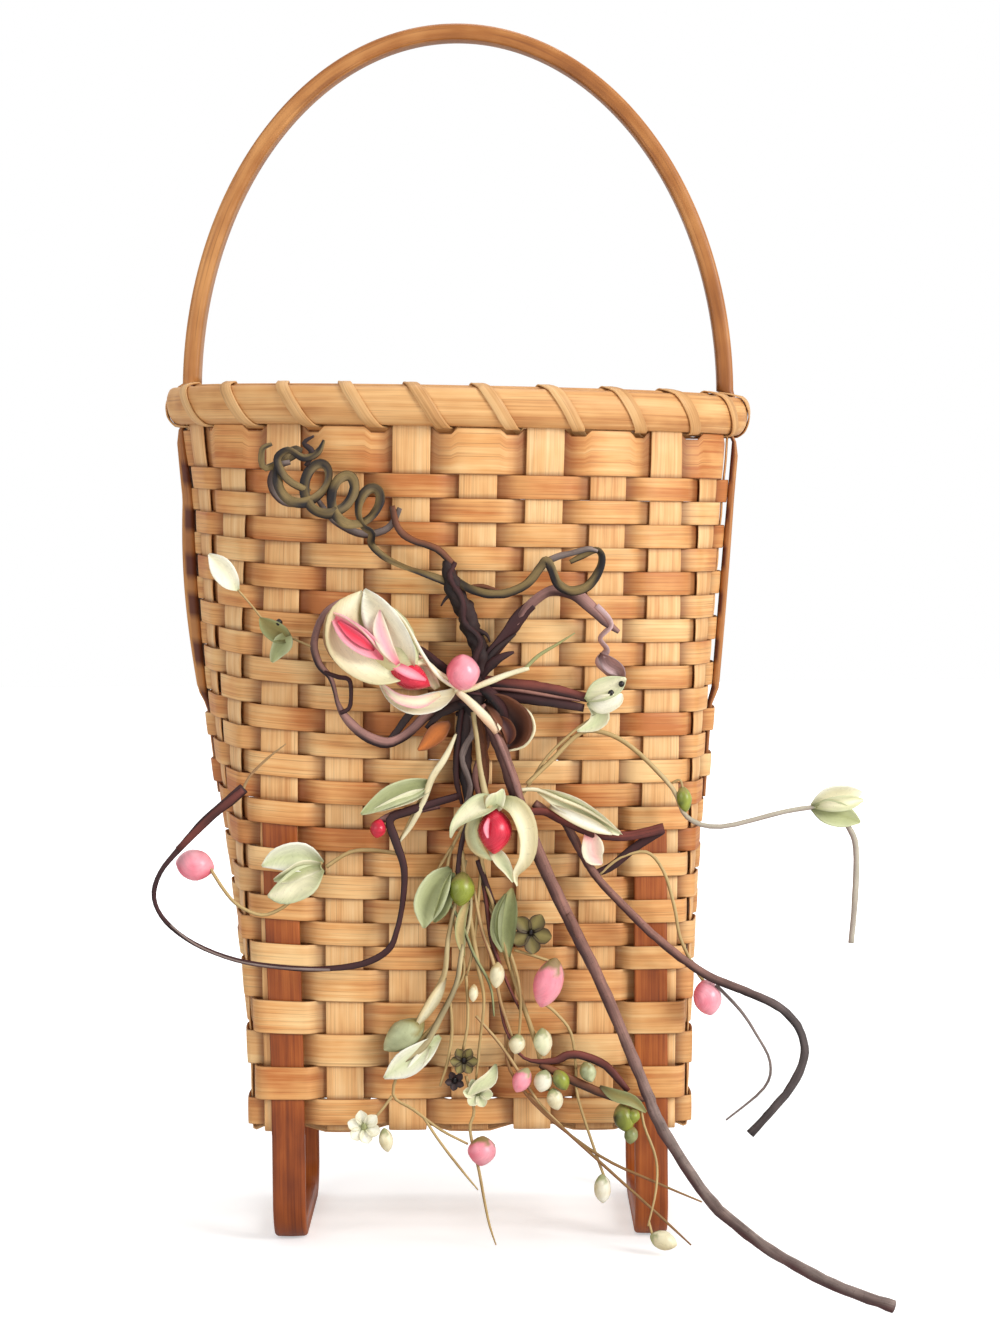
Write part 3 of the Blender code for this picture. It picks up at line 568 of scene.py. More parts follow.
def row_line(row, z):
    """Points on the wall along a row at a height, each with its direction, offset, painted shade and rise.
    """
    t = level(z)
    flat = STAKE_WIDTH / 2 + WEAVER_EASE
    spans = []
    # The start is behind a stake at the back, where the row's two ends meet out of sight.
    first = STAKES // 2 + (row + STAKES // 2) % 2
    for i in range(first, first + STAKES):
        over = (row + i) % 2 == 1
        side = 1 if over else -1
        low, high, out = -flat, flat, WEAVER_OUT * side
        rider = rider_here(i, t, row)
        if rider is not None:
            low = min(low, rider - RIDER_WIDTH / 2 - WEAVER_EASE)
            high = max(high, rider + RIDER_WIDTH / 2 + WEAVER_EASE)
            out = RIDER_OUT if over else out
        spans.append((i, low, high, out, side))
    line = []
    for k, (i, low, high, out, side) in enumerate(spans):
        outward = stake_frame(i, t)[2]
        for step in range(FLAT_STEPS):
            share = step / FLAT_STEPS
            swell = PILLOW * (1 - (2 * share - 1) ** 2) * side
            edge = abs(2 * share - 1) ** 3
            # Painted shade: a little towards the ends where the row lies over a stake, and dark where it
            # lies behind one.
            painted_shade = ROW_END_SHADE * edge if side > 0 else HIDDEN_SHADE
            rise = 0.0 if i % STAKES in HANDLE_STAKES else 1.0
            line.append((wall(i, t, low + (high - low) * share, 0), outward, out + swell, painted_shade, rise))
        after, next_low, _, next_out, _ = spans[(k + 1) % STAKES]
        start = wall(i, t, high, 0)
        end = wall(after, t, next_low, 0)
        next_outward = stake_frame(after, t)[2]
        for step in range(CHORD_STEPS):
            share = step / CHORD_STEPS
            place = start.lerp(end, share)
            turned = (outward * (1 - share) + next_outward * share).normalized()
            shift = out + (next_out - out) * smooth(share)
            down = share if side > 0 else 1 - share
            rise = 1.0 if step == 0 and i % STAKES not in HANDLE_STAKES else 0.0
            # Painted shade on the way between stakes, deeper the nearer the row comes to lying behind one.
            line.append((place, turned, shift, SLOPE_SHADE + SLOPE_SHADE_GAIN * smooth(down) ** 2, rise))
    return line[FLAT_STEPS // 2:] + line[:FLAT_STEPS // 2]


def add_row(row):
    bottom, top = row_edges(row)
    top += SEAM_CLOSE
    lower = row_line(row, bottom)
    upper = row_line(row, top)
    if row == len(ROW_HEIGHTS):
        upper = [(end[0] + Vector((0, 0, TOP_ROW_RISE * end[4])), *end[1:]) for end in upper]
    seed = row * 3.1
    row_tone = random.uniform(-0.4, 0.4)
    # The lowest rows stay even, so that no light shows between them.
    play = 1.0 if row > 2 else 0.0
    sections, marks = [], []
    for along, low, high in zip(lengths([low[0] for low in lower]), lower, upper):
        turned = (low[1] + high[1]).normalized()
        outward = Vector((turned.x, turned.y, 0))
        shift = (low[2] + high[2]) / 2
        width = 1 + 0.012 * play * wander(along, seed, 28)
        raise_by = RIPPLE * play * wander(along, seed + 50, 22)
        tone = row_tone + 0.8 * wander(along, seed + 20, 14) + 0.6 * wander(along, seed + 30, 45)
        section = []
        for across, thick in SPLINT:
            place = low[0] + (high[0] - low[0]) * (0.5 + across * width)
            place = place + outward * (shift + thick * WEAVER_THICK)
            place.z += raise_by
            section.append(place)
            # Painted shade along the splint's upper and lower edges, in the seams between rows.
            edge = SEAM_SHADE if abs(across) > SEAM_FROM else 0.0
            marks.append(((along, across * (top - bottom), seed), tone, max(low[3], edge)))
        sections.append(section)
    obj = loft(f"row_{row:02d}", sections, WEAVER_LOOK, True, marks)
    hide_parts(f"weaver_{row:02d}")


def stake_point(i, z, direction):
    """The middle of stake i at a height, with its directions across and outward and its painted shade."""
    t = level(z)
    _, across, outward = stake_frame(i, t)
    # Painted shade: even above the rows, a little towards the ends where the stake lies over a row, and
    # dark where it lies behind one.
    swell, painted_shade = 0.0, STAKE_SHADE
    for row in range(1, len(ROW_HEIGHTS) + 1):
        bottom, top = row_edges(row)
        if bottom <= z <= top + ROW_GAP:
            outside = (row + i) % 2 == 0
            bow = 1 - (2 * min((z - bottom) / (top - bottom), 1.0) - 1) ** 2
            swell = (STAKE_PILLOW if outside else -STAKE_DENT) * bow
            painted_shade = STAKE_END_SHADE * (1 - bow) ** 2 if outside else HIDDEN_SHADE
    across = Vector((across.x, across.y, 0)) * direction
    return wall(i, t, 0, swell), across, Vector((outward.x, outward.y, 0)), painted_shade


def stake_lines(first, second, crossings):
    """Middle line of a long splint: points, width directions, outward directions and painted shades."""
    heights = []
    z = STAKE_SHOWN_TOP
    while z > BASE_Z + 2 * BASE_BEND:
        heights.append(z)
        z -= STAKE_STEP
    line = [stake_point(first, z, 1) for z in heights]
    start, across, outward = stake_frame(first, 0)
    end, _, _ = stake_frame(second, 0)
    ahead = (end - start).normalized()
    length = (end - start).length
    flat_across = Vector((across.x, across.y, 0))
    down = Vector((0, 0, -1))
    corner = Vector((outward.x, outward.y, -1)).normalized()
    steps = [(BEND_START, BASE_Z + BASE_BEND * 0.35, corner), (BASE_BEND, BASE_Z, down)]
    half = STAKE_WIDTH / 2 + WEAVER_EASE
    for distance, lift in crossings:
        for part in (-1, -0.5, 0, 0.5, 1):
            bulge = lift * (1 + 0.15 * (1 - part * part))
            steps.append((distance + part * half, BASE_Z + bulge, down))
    back = Vector((-outward.x, -outward.y, -1)).normalized()
    steps.append((length - BASE_BEND, BASE_Z, down))
    steps.append((length - BEND_START, BASE_Z + BASE_BEND * 0.35, back))
    for distance, z, facing in steps:
        place = start + ahead * distance
        # The base takes an even painted shade.
        line.append((Vector((place.x, place.y, z)), flat_across, facing, BASE_SHADE))
    return line + [stake_point(second, z, -1) for z in reversed(heights)]


def add_stake(name, first, second, crossings, seed):
    line = stake_lines(first, second, crossings)
    tone = random.uniform(-0.2, 0.3)
    size = (STAKE_WIDTH, STAKE_THICK)
    sections, marks = strip(line, size, seed, (0.02, 20), (tone, 0.5, 9, 10))
    obj = loft(name, sections, STAKE_LOOK, False, marks)
    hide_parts(name.replace("splint", "stake"))


def add_stakes():
    half = FRONT_STAKES // 2
    for k in range(-half, half + 1):
        add_stake(f"splint_long_{k + half + 1}", k, STAKES // 2 - k, [], 200 + k)
    lift = STAKE_THICK + GAP
    for j in range(SIDE_STAKES):
        right = half + 1 + j
        left = STAKES // 2 + FRONT_STAKES + SIDE_STAKES - right
        crossings = []
        for k in range(-half, half + 1):
            side = 1 if (j + k) % 2 else -1
            crossings.append((BASE_HALF_X - k * FRONT_PITCH, side * lift))
        crossings.sort()
        add_stake(f"splint_cross_{j + 1}", right, left, crossings, 300 + j)


# The half-round section of a hoop: its depth from the flat face, and its height from 0 to 1.
HOOP_SHAPE = (
    (0.0, 0.04), (0.0, 0.35), (0.0, 0.65), (0.0, 0.96), (0.12, 0.995), (0.3, 0.98), (0.5, 0.94),
    (0.72, 0.86), (0.89, 0.74), (0.99, 0.58), (0.99, 0.42), (0.89, 0.26), (0.72, 0.14),
    (0.5, 0.06), (0.3, 0.02), (0.12, 0.005),
)


def rim_stations():
    """The angles round the rim from the middle of the back, each with its length along the rim."""
    for k in range(RIM_STATIONS):
        yield math.pi + math.tau * k / RIM_STATIONS, PERIMETER * k / RIM_STATIONS


def hoop_sections(face, depth, top, seed):
    tall = top - HOOP_LOW
    sections, marks = [], []
    for angle, along in rim_stations():
        shift = handle_bulge(angle) if depth > 0 else 0.0
        section = []
        for out, up in HOOP_SHAPE if depth > 0 else HOOP_SHAPE[::-1]:
            ripple = RIPPLE * wander(along, seed + up * 3, 16)
            section.append(rim_point(angle, HOOP_LOW + tall * up, face + shift + depth * out + ripple))
            tone = 0.1 + 0.5 * wander(along, seed + up * 2, 9)
            # Painted shade towards the hoop's lower edge, and a little at its top.
            shade = 0.3 * max(0.0, 0.3 - up) / 0.3 + 0.12 * max(0.0, up - 0.85) / 0.15
            marks.append(((along, tall * up + depth * out, seed), tone, shade))
        sections.append(section)
    return sections, marks


def reed_sections(seed):
    sections, marks = [], []
    for angle, along in rim_stations():
        section = []
        for corner in range(REED_SIDES):
            turn = math.tau * corner / REED_SIDES
            radius = REED_SHOWN * (1 + 0.05 * wander(along, seed + corner, 30))
            z = REED_LOW + radius * math.sin(turn)
            section.append(rim_point(angle, z, REED_OUT + radius * math.cos(turn)))
            # The whole reed takes an even painted shade and a slightly lower tone.
            marks.append(((along, turn * REED_RADIUS, seed), -0.1, 0.25))
        sections.append(section)
    return sections, marks


def add_rim():
    outside = hoop_sections(OUTER_HOOP_IN, OUTER_HOOP_THICK, HOOP_TOP, 410)
    inside = hoop_sections(INNER_HOOP_OUT, -INNER_HOOP_THICK, HOOP_TOP_INSIDE, 420)
    for name, node, (sections, marks) in (
        ("rim_outside", "outer_rim", outside),
        ("rim_inside", "inner_rim", inside),
        ("rim_reed", "rim_filler", reed_sections(430)),
    ):
        obj = loft(name, sections, HOOP_LOOK, True, marks)
        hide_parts(node)


def catmull(points, steps, closed):
    """A smooth line through points, each a Vector or a list of numbers of one length."""
    count = len(points)
    line = []
    for k in range(count if closed else count - 1):
        if closed:
            a, b, c, d = (points[(k + shift) % count] for shift in (-1, 0, 1, 2))
        else:
            b, c = points[k], points[k + 1]
            a = points[k - 1] if k else b
            d = points[k + 2] if k + 2 < count else c
        for step in range(steps):
            t = step / steps
            line.append(
                [
                    0.5 * (2 * q + (r - p) * t + (2 * p - 5 * q + 4 * r - s) * t**2
                           + (3 * q - p - 3 * r + s) * t**3)
                    for p, q, r, s in zip(a, b, c, d)
                ]
            )
    if not closed:
        line.append(list(points[-1]))
    return line


# A turn of the lashing: how far along the turn it comes to which point of HOOP_SHAPE, down the
# outer hoop and up the inner one, and to which side of the reed, in degrees from its outside.
LASH_DOWN = (
    (0.06, 5), (0.12, 7), (0.17, 8), (0.23, 9), (0.29, 10), (0.345, 11), (0.395, 12), (0.46, 14),
)
LASH_UP = ((0.54, 14), (0.60, 12), (0.65, 11), (0.71, 10), (0.77, 9), (0.83, 8), (0.87, 7))
LASH_OVER = ((0.92, 180), (0.95, 135), (0.98, 90))


def lash_beside(face, depth, top, point):
    """Where the lashing's middle lies beside a point of a hoop's section: its height and depth."""
    spots = []
    for k in (point - 1, point, point + 1):
        out, up = HOOP_SHAPE[k]
        spots.append((HOOP_LOW + (top - HOOP_LOW) * up, face + depth * out))
    rise = spots[2][0] - spots[0][0]
    run = spots[2][1] - spots[0][1]
    off = math.copysign(LASH_OFF, depth) / math.hypot(rise, run)
    return spots[1][0] + run * off, spots[1][1] - rise * off


def lash_path():
    """The places of the lashing: the length along the rim, the height and the depth of each."""
    turn = []
    for part, point in LASH_DOWN:
        turn.append((part, *lash_beside(OUTER_HOOP_IN, OUTER_HOOP_THICK, HOOP_TOP, point)))
    turn.append((0.5, HOOP_LOW - LASH_OFF, (OUTER_HOOP_IN + INNER_HOOP_OUT) / 2))
    for part, point in LASH_UP:
        turn.append((part, *lash_beside(INNER_HOOP_OUT, -INNER_HOOP_THICK, HOOP_TOP_INSIDE, point)))
    for part, side in LASH_OVER:
        reach = REED_SHOWN + LASH_OFF
        z = REED_LOW + reach * math.sin(math.radians(side))
        turn.append((part, z, REED_OUT + reach * math.cos(math.radians(side))))
    path = []
    for i in range(STAKES):
        for part, z, out in turn:
            arc = TWIST + (i + part) * PITCH
            for stake in HANDLE_STAKES:
                away = abs(i + part - stake)
                arc += LASH_HANDLE_SHIFT * clamp((LASH_SHIFT_FROM - away) / LASH_SHIFT_OVER)
            path.append((arc, z, out))
    return path


def add_lashing():
    middle, tangents = [], []
    for arc, z, out in lash_path():
        angle = rim_angle(arc)
        bulge = handle_bulge(angle) if out > OUTER_HOOP_IN else 0.0
        middle.append(rim_point(angle, z, out + bulge))
        ahead = rim_point(rim_angle(arc + NEAR), z, out)
        tangents.append((ahead - rim_point(rim_angle(arc - NEAR), z, out)).normalized())
    path = [Vector(p) for p in catmull(middle, LASH_STEPS, True)]
    ways = [Vector(p).normalized() for p in catmull(tangents, LASH_STEPS, True)]
    line = []
    for k, (place, way) in enumerate(zip(path, ways)):
        ahead = (path[(k + 1) % len(path)] - path[k - 1]).normalized()
        across = (way - ahead * way.dot(ahead)).normalized()
        line.append((place, across, across.cross(ahead).normalized(), 0.0))
    size = (LASH_SHOWN, LASH_THICK)
    sections, marks = strip(line, size, 500, (0.05, 30), (0.25, 0.4, 10, 12))
    obj = loft("rim_cane", sections, LASH_LOOK, True, marks)
    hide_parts("rim_lashing")


# A rounded bar: width from -1 to 1, and thickness from 0 to 1, with a slight crown.
BAR_CROWN = 1.03
BAR = (
    (-1, 0.35), (-0.98, 0.16), (-0.9, 0.04), (-0.78, 0.0), (0.0, 0.0), (0.78, 0.0), (0.9, 0.04),
    (0.98, 0.16), (1, 0.35), (1, 0.65), (0.98, 0.84), (0.9, 0.96), (0.78, 1.0), (0.0, BAR_CROWN),
    (-0.78, 1.0), (-0.9, 0.96), (-0.98, 0.84), (-1, 0.65),
)


def bar(place, half_width, inner, outer):
    """The bar's section, where place gives the point at a distance along and out."""
    return [place(half_width * u, inner + (outer - inner) * v) for u, v in BAR]


def bar_marks(sections, seed, tones, painted_shades):
    """The grain, tone and painted shade of each point. Only a bar's inner face and edges take its painted
    shade.
    """
    marks = []
    for along, tone, painted_shade in zip(lengths([section[0] for section in sections]), tones, painted_shades):
        tone += 0.3 * wander(along, seed, 8)
        for u, v in BAR:
            across = u * HANDLE_WIDTH / 2 + v * TAIL_THICK
            marks.append(((along, across, seed), tone, painted_shade if v < 0.4 else 0.0))
    return marks


def between(steps, z):
    """The inner and outer faces of a tail at a height, from the list of sections."""
    for (z0, i0, o0), (z1, i1, o1) in zip(steps, steps[1:]):
        if z0 <= z <= z1:
            share = smooth((z - z0) / (z1 - z0))
            return i0 + (i1 - i0) * share, o0 + (o1 - o0) * share
    return steps[-1][1:]


def tail_sections(i):
    """The sections of the tail on stake i from its end upwards, and the painted shade of each one."""
    bottom, top = row_edges(TAIL_TOP_ROW[i] + 1)
    spread = TAIL_IN + TAIL_THICK
    steps = [
        (TAIL_END[i], RIDER_IN, RIDER_IN + RIDER_THICK),
        (bottom, RIDER_IN, RIDER_IN + RIDER_THICK),
        (top, TAIL_IN, spread),
        (TAIL_STRAIGHT_TOP, TAIL_IN, spread),
        (TAIL_THIN_FROM, TAIL_IN, TAIL_IN + TAIL_IN_RIM),
        (HOOP_LOW - GAP, RIDER_IN, RIDER_IN + TAIL_IN_RIM),
        (TAIL_CLOSE_TO, RIDER_IN, RIDER_IN + TAIL_IN_RIM),
        (TAIL_TO_BOW, 0, TAIL_IN_RIM),
    ]
    bow_from, bow_to, bow_most = TAIL_BOW[i]
    low = TAIL_END[i]
    heights = [low + (TAIL_STRAIGHT_TOP - low) * k / TAIL_STEPS for k in range(TAIL_STEPS)]
    heights += [step[0] for step in steps[3:]]
    sections, painted_shades = [], []
    for z in heights:
        inner, outer = between(steps, z)
        outer += bow_most * math.sin(math.pi * clamp((z - bow_from) / (bow_to - bow_from)))
        t = level(z)
        sections.append(bar(lambda u, v: wall(i, t, u, v), HANDLE_WIDTH / 2, inner, outer))
        row = sum(1 for k in range(1, len(ROW_HEIGHTS) + 1) if row_edges(k)[0] <= z)
        # Painted shade on the tail's inner face, deepest where the row beside it goes behind its stake and
        # leaves a shaded gap.
        painted_shades.append(TAIL_HIDDEN_SHADE if (row + i) % 2 == 0 else TAIL_SHADE)
    return sections, painted_shades


def bow_sections():
    """The sections of the handle's bow, from right to left."""
    yaw = math.radians(HANDLE_YAW)
    side = Vector((math.sin(yaw), math.cos(yaw), 0))
    run = Vector((math.cos(yaw), -math.sin(yaw), 0))
    first, last = math.radians(BOW_RIGHT), math.pi - math.radians(BOW_LEFT)
    sections = []
    for step in range(BOW_STEPS + 1):
        turn = first + (last - first) * step / BOW_STEPS
        normal = Vector((math.cos(turn) / HANDLE_HALF_X, math.sin(turn) / HANDLE_RISE)).normalized()
        out = run * normal.x + Vector((0, 0, normal.y))
        centre = Vector((HANDLE_CENTRE_X, 0, HANDLE_FOOT_Z))
        centre += run * HANDLE_HALF_X * math.cos(turn)
        centre.z += HANDLE_RISE * math.sin(turn)
        half = HANDLE_THICK / 2
        sections.append(bar(lambda u, v: centre + side * u + out * v, HANDLE_WIDTH / 2, -half, half))
    return sections


def turned_bar(section):
    """The same section with its width turned round."""
    half = len(BAR) // 2
    first = [section[half - k] for k in range(half + 1)]
    second = [section[2 * half - k] for k in range(1, half)]
    return first + second


def add_handle():
    right, left = HANDLE_STAKES
    right_tail, right_painted_shades = tail_sections(right)
    left_tail, left_painted_shades = tail_sections(left)
    bow = bow_sections()
    sections = right_tail + bow + [turned_bar(section) for section in left_tail][::-1]
    painted_shades = right_painted_shades + [0.0] * len(bow) + left_painted_shades[::-1]
    pale_from = len(right_tail) + PALE_FROM
    tones = [0.1 + 0.65 * smooth((k - pale_from) / PALE_OVER) for k in range(len(sections))]
    marks = bar_marks(sections, 600, tones, painted_shades)
    obj = loft("bow_handle", sections, HANDLE_LOOK, False, marks)
    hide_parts("handle")


def foot_sections(side):
    """A foot's sections: down its front arm, along the ground, and up its back arm."""
    x = side * FOOT_X
    outer = BASE_HALF_Y + RIDER_IN + RIDER_THICK
    inner = outer - FOOT_THICK

    def arm(i, direction):
        arms = []
        z = FOOT_TOP
        while z > FOOT_ARM_LOW:
            t = level(z)
            middle = foot_along(i, t)

            def place(u, v):
                return wall(i, t, middle + direction * u, v)

            arms.append(bar(place, RIDER_WIDTH / 2, RIDER_IN, RIDER_IN + RIDER_THICK))
            z -= ARM_STEP
        return arms

    def below(front):
        legs = []
        for z, start in ((FOOT_SHOULDER, outer - RIDER_THICK), *((low, inner) for low in FOOT_LEG)):

            def place(u, v):
                return Vector((x + u, front * v, z))

            legs.append(bar(place, RIDER_WIDTH / 2, start, outer))
        for step in range(FOOT_ARC_STEPS + 1):
            turn = math.pi / 2 * step / FOOT_ARC_STEPS
            centre = outer - FOOT_BEND

            def curve(u, v):
                y = front * (centre + (v + FOOT_BEND - FOOT_THICK) * math.cos(turn))
                return Vector((x + u, y, FOOT_BEND - (v + FOOT_BEND - FOOT_THICK) * math.sin(turn)))

            legs.append(bar(curve, RIDER_WIDTH / 2, 0, FOOT_THICK / BAR_CROWN))
        return legs

    front_arm = arm(FOOT_STAKE_FRONT[side], 1)
    back_arm = arm(FOOT_STAKE_BACK[side], -1)
    return front_arm + below(-1) + below(1)[::-1] + back_arm[::-1]


def add_feet():
    feet = ((-1, "foot_runner_left", "left_foot"), (1, "foot_runner_right", "right_foot"))
    for side, name, node in feet:
        sections = foot_sections(side)
        even = [0.0] * len(sections)
        marks = bar_marks(sections, 640 + side, even, even)
        obj = loft(name, sections, FOOT_LOOK, False, marks)
        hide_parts(node)


for row in range(1, len(ROW_HEIGHTS) + 1):
    add_row(row)
add_stakes()
add_rim()
add_lashing()
add_handle()
add_feet()


# The spray. A route is a row of (across, down, out, width): a place in the picture in pixels, the
# distance out from the front wall and the full width there, both in millimetres.


def front_reach(z):
    return BASE_HALF_Y + (RIM_HALF_Y - BASE_HALF_Y) * share_at(level(z))


def seen(across, down, out):
    """The point that the camera sees at a place in the picture, so far out from the front wall."""
    size = SENSOR / TALL
    ray = Vector(((across - WIDE / 2) * size, (TALL / 2 - down) * size, -LENS))
    ray.rotate(GAZE)
    z = KNOT_Z
    for _ in range(SEEN_ROUNDS):
        spot = EYE + ray * ((-front_reach(z) - out * MM - EYE.y) / ray.y)
        z = spot.z
    return spot


def picked(route):
    """The points of a route that is given in the picture."""
    return [(*seen(across, down, out), width * MM) for across, down, out, width in route]


def placed(width, route):
    """The points of a route that is given in millimetres beside, above and out from the knot."""
    points = []
    for dx, dz, out in route:
        z = KNOT_Z + dz * MM
        points.append((KNOT_X + dx * MM, -front_reach(z) - out * MM, z, width * MM))
    return points


def curl(start, end, out, reach, turns, width):
    """The route of a corkscrew from start to end."""
    first, last = Vector(start), Vector(end)
    side = Vector((first.y - last.y, last.x - first.x)).normalized()
    steps = round(turns * SPIRAL_STEPS)
    route = []
    for step in range(steps + 1):
        part = step / steps
        angle = math.tau * turns * part
        size = reach[0] + (reach[1] - reach[0]) * part
        place = first.lerp(last, part) - side * size * math.cos(angle)
        place += (last - first).normalized() * size * 0.75 * math.sin(angle)
        route.append((place.x, place.y, out + 0.22 * size * math.cos(angle), width))
    return route


def wraps(across, down, out, width, reach, count):
    """The route of a tie's wraps, round it and a pixel down with each step."""
    route = []
    for step in range(count):
        angle = math.tau * step / WRAP_STEPS
        x = across + reach[0] * math.cos(angle)
        route.append((x, down + step, out - reach[1] * math.sin(angle), width))
    return route


def frames(points, steps, turn):
    """Smoothed points, each with its length along, its width, and its directions across and out,
    which turn gives for a length along."""
    line = catmull(points, steps, False)
    places = [Vector(spot[:3]) for spot in line]
    made = []
    for k, along in enumerate(lengths(places)):
        ahead = places[min(k + 1, len(line) - 1)] - places[max(k - 1, 0)]
        ahead.normalize()
        across = ahead.cross(Vector((0, 1, 0))).normalized()
        facing = ahead.cross(across)
        angle = turn(along)
        wide = across * math.cos(angle) + facing * math.sin(angle)
        deep = facing * math.cos(angle) - across * math.sin(angle)
        made.append((along, places[k], max(line[k][3], THINNEST), wide, deep))
    return made


def blend(first, second, share):
    share = clamp(share)
    return tuple(a + (b - a) * share for a, b in zip(first, second))


# The direction of the painted light on the spray's stems, straps and buds, and the seed of each of its
# skins.
PAINTED_LIGHT_WAY = Vector((0.62, -0.35, 0.7)).normalized()
SEEDS = iter(range(1000, 2000))
# The width of a stem or petal where its route gives less.
THINNEST = 0.1 * MM
# The points across a petal, from edge to edge.
PETAL_ACROSS = (-1, -0.78, -0.45, 0, 0.45, 0.78, 1)
# A small petal: how far out from the heart, and how wide there, as shares of the flower's reach.
SMALL_PETAL = ((0.1, 0.3), (0.45, 0.75), (0.8, 0.7), (1.0, 0.15))
# The millimetres of width for a pixel of that reach, and how far the small petals lift.
SMALL_PETAL_WIDTH = 0.415
SMALL_PETAL_LIFT = 1.6

# Each of these makes a list of skins: sections, the paint of their points, and a seed.


def stem_through(
    points, light, dark, depth=0.8, rough=0.06, sides=8, steps=4, twist=0.0, patchy=0.5, gloss=0.3,
    ends=None,
):
    """A stem, or with a small depth a ribbon: painted light on the sides that face up and right, painted
    shade on the others.

    patchy says how much its own colour varies, and ends holds the colours of the painted light and shade of
    its far part."""
    seed = next(SEEDS)
    sections, paints = [], []
    line = frames(points, steps, lambda along: twist * noise_at(along * 30, seed, 0))
    for k, (along, place, width, wide, deep) in enumerate(line):
        size = width / 2 * (1 + 0.08 * noise_at(along * 120, seed, 3))
        section, paint = [], []
        for corner in range(sides):
            angle = math.tau * corner / sides
            way = wide * math.cos(angle) + deep * math.sin(angle) * depth
            bark = 1 + rough * 2 * noise_at(along * 260, corner * 1.7, seed)
            section.append(place + way * size * bark)
            # Painted light and shade: the side facing the light is painted lighter, the other darker, and
            # patchy adds the stem's own patches of colour.
            share = 0.42 + 0.6 * way.normalized().dot(PAINTED_LIGHT_WAY)
            share += patchy * noise_at(along * 70, corner * 0.4, seed + 5)
            shade = blend(dark, light, share)
            if ends:
                far = smooth((k / (len(line) - 1) - 0.4) / 0.3)
                shade = blend(shade, blend(ends[1], ends[0], share), far)
            paint.append((*shade, gloss))
        sections.append(section)
        paints.append(paint)
    return [(sections, paints, seed)]


def stem(route, *look):
    return stem_through(picked(route), *look)


def petal(route, centre, edge, base, cup=0.3, turn=0.0, thick=0.5, steps=4, gloss=0.25):
    """A thin leaf or petal along its middle line, with its edges lifted by the cup."""
    seed = next(SEEDS)
    sections, paints = [], []
    line = frames(picked(route), steps, lambda along: turn)
    for k, (along, place, width, wide, deep) in enumerate(line):
        half = width / 2
        upper, lower, top_paint, low_paint = [], [], [], []
        for u in PETAL_ACROSS:
            ripple = 0.22 * half * abs(u) * noise_at(along * 90, u * 2, seed)
            crease = 0.1 * half * math.exp(-(u / 0.2) ** 2)
            middle = place + wide * half * u + deep * (cup * half * u * u * 1.4 + ripple - crease)
            skin = thick * MM / 2 * (1 - 0.5 * abs(u))
            upper.append(middle + deep * skin)
            lower.append(middle - deep * skin)
            shade = blend(centre, edge, abs(u) ** 1.6 + 0.3 * noise_at(along * 60, u, seed + 4))
            shade = blend(base, shade, k / (len(line) - 1) * 3.2 + 0.1)
            top_paint.append((*shade, gloss))
            low_paint.append((*blend(shade, base, 0.45), gloss))
        sections.append(upper + lower[::-1])
        paints.append(top_paint + low_paint[::-1])
    return [(sections, paints, seed)]


def bud(route, light, dark, calyx=None, full=0.62, gloss=0.8):
    """A round bud, pod or berry from its foot, which holds its width, to its tip."""
    seed = next(SEEDS)
    (*foot, width), (*tip, _) = picked(route)
    foot, tip = Vector(foot), Vector(tip)
    axis = (tip - foot).normalized()
    side = axis.cross(Vector((0, 1, 0))).normalized()
    deep = axis.cross(side)
    sections, paints = [], []
    for ring in range(BUD_RINGS + 1):
        part = 0.5 - 0.5 * math.cos(math.pi * ring / BUD_RINGS)
        size = width / 2 * max(math.sin(math.pi * part), 0.02) ** full
        section, paint = [], []
        for corner in range(BUD_SIDES):
            angle = math.tau * corner / BUD_SIDES
            way = side * math.cos(angle) + deep * math.sin(angle)
            lump = 1 + 0.07 * noise_at(part * 3, math.cos(angle), seed)
            lobe = calyx is not None and part < 0.24 + 0.12 * math.cos(5 * angle)
            section.append(foot.lerp(tip, part) + way * size * (lump + (0.06 if lobe else 0)))
            # Painted light and shade: lighter on the side towards the light, darker away from it, with
            # patches of the bud's own colour; the calyx lobes get a little of the painted light.
            share = 0.45 + 0.55 * way.dot(PAINTED_LIGHT_WAY) + 0.5 * noise_at(part * 4, angle, seed + 2)
            shade = blend(calyx, light, 0.15 * share) if lobe else blend(dark, light, share)
            paint.append((*shade, gloss * (0.5 if lobe else 1)))
        sections.append(section)
        paints.append(paint)
    return [(sections, paints, seed)]


def flower(route, light, edge, heart, count, start):
    """Small petals round a dark heart. The width in its route is its reach in pixels."""
    across, down, out, reach = route[0]
    made = []
    for k in range(count):
        angle = start + math.tau * k / count
        way = Vector((math.cos(angle), math.sin(angle)))
        leaf = []
        for part, width in SMALL_PETAL:
            spot = Vector((across, down)) + way * reach * part
            lift = out + SMALL_PETAL_LIFT * part
            leaf.append((spot.x, spot.y, lift, width * reach * SMALL_PETAL_WIDTH))
        made += petal(leaf, light, edge, heart, 0.35, steps=3)
    return made + bud(((across, down + 3, out - 1, 2.4), (across, down - 3, out + 2, 0)), heart, heart)


def grown(rows):
    """The skins that a table's rows describe: what makes them, their colours, shape and route."""
    made = []
    for make, colours, shape, *route in rows:
        made += make(route, *colours, *shape)
    return made


def add_cluster(name, slot, node, look, skins):
    """One object of several skins, which stands for its node if it has one."""
    points, faces, grain, paint = [], [], [], []
    for sections, paints, seed in skins:
        faces += tube_faces(len(sections), len(sections[0]), len(points), False)
        ends = [section[0] for section in sections]
        for along, end, section, colours in zip(lengths(ends), ends, sections, paints):
            for point, colour in zip(section, colours):
                points.append(point)
                grain += (along, (point - end).length, seed * 0.37)
                paint += colour
    values = (("grain", "FLOAT_VECTOR", grain), ("paint", "FLOAT_COLOR", paint))
    obj = add_mesh(name, points, faces, look, values)
    if node:
        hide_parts(node)


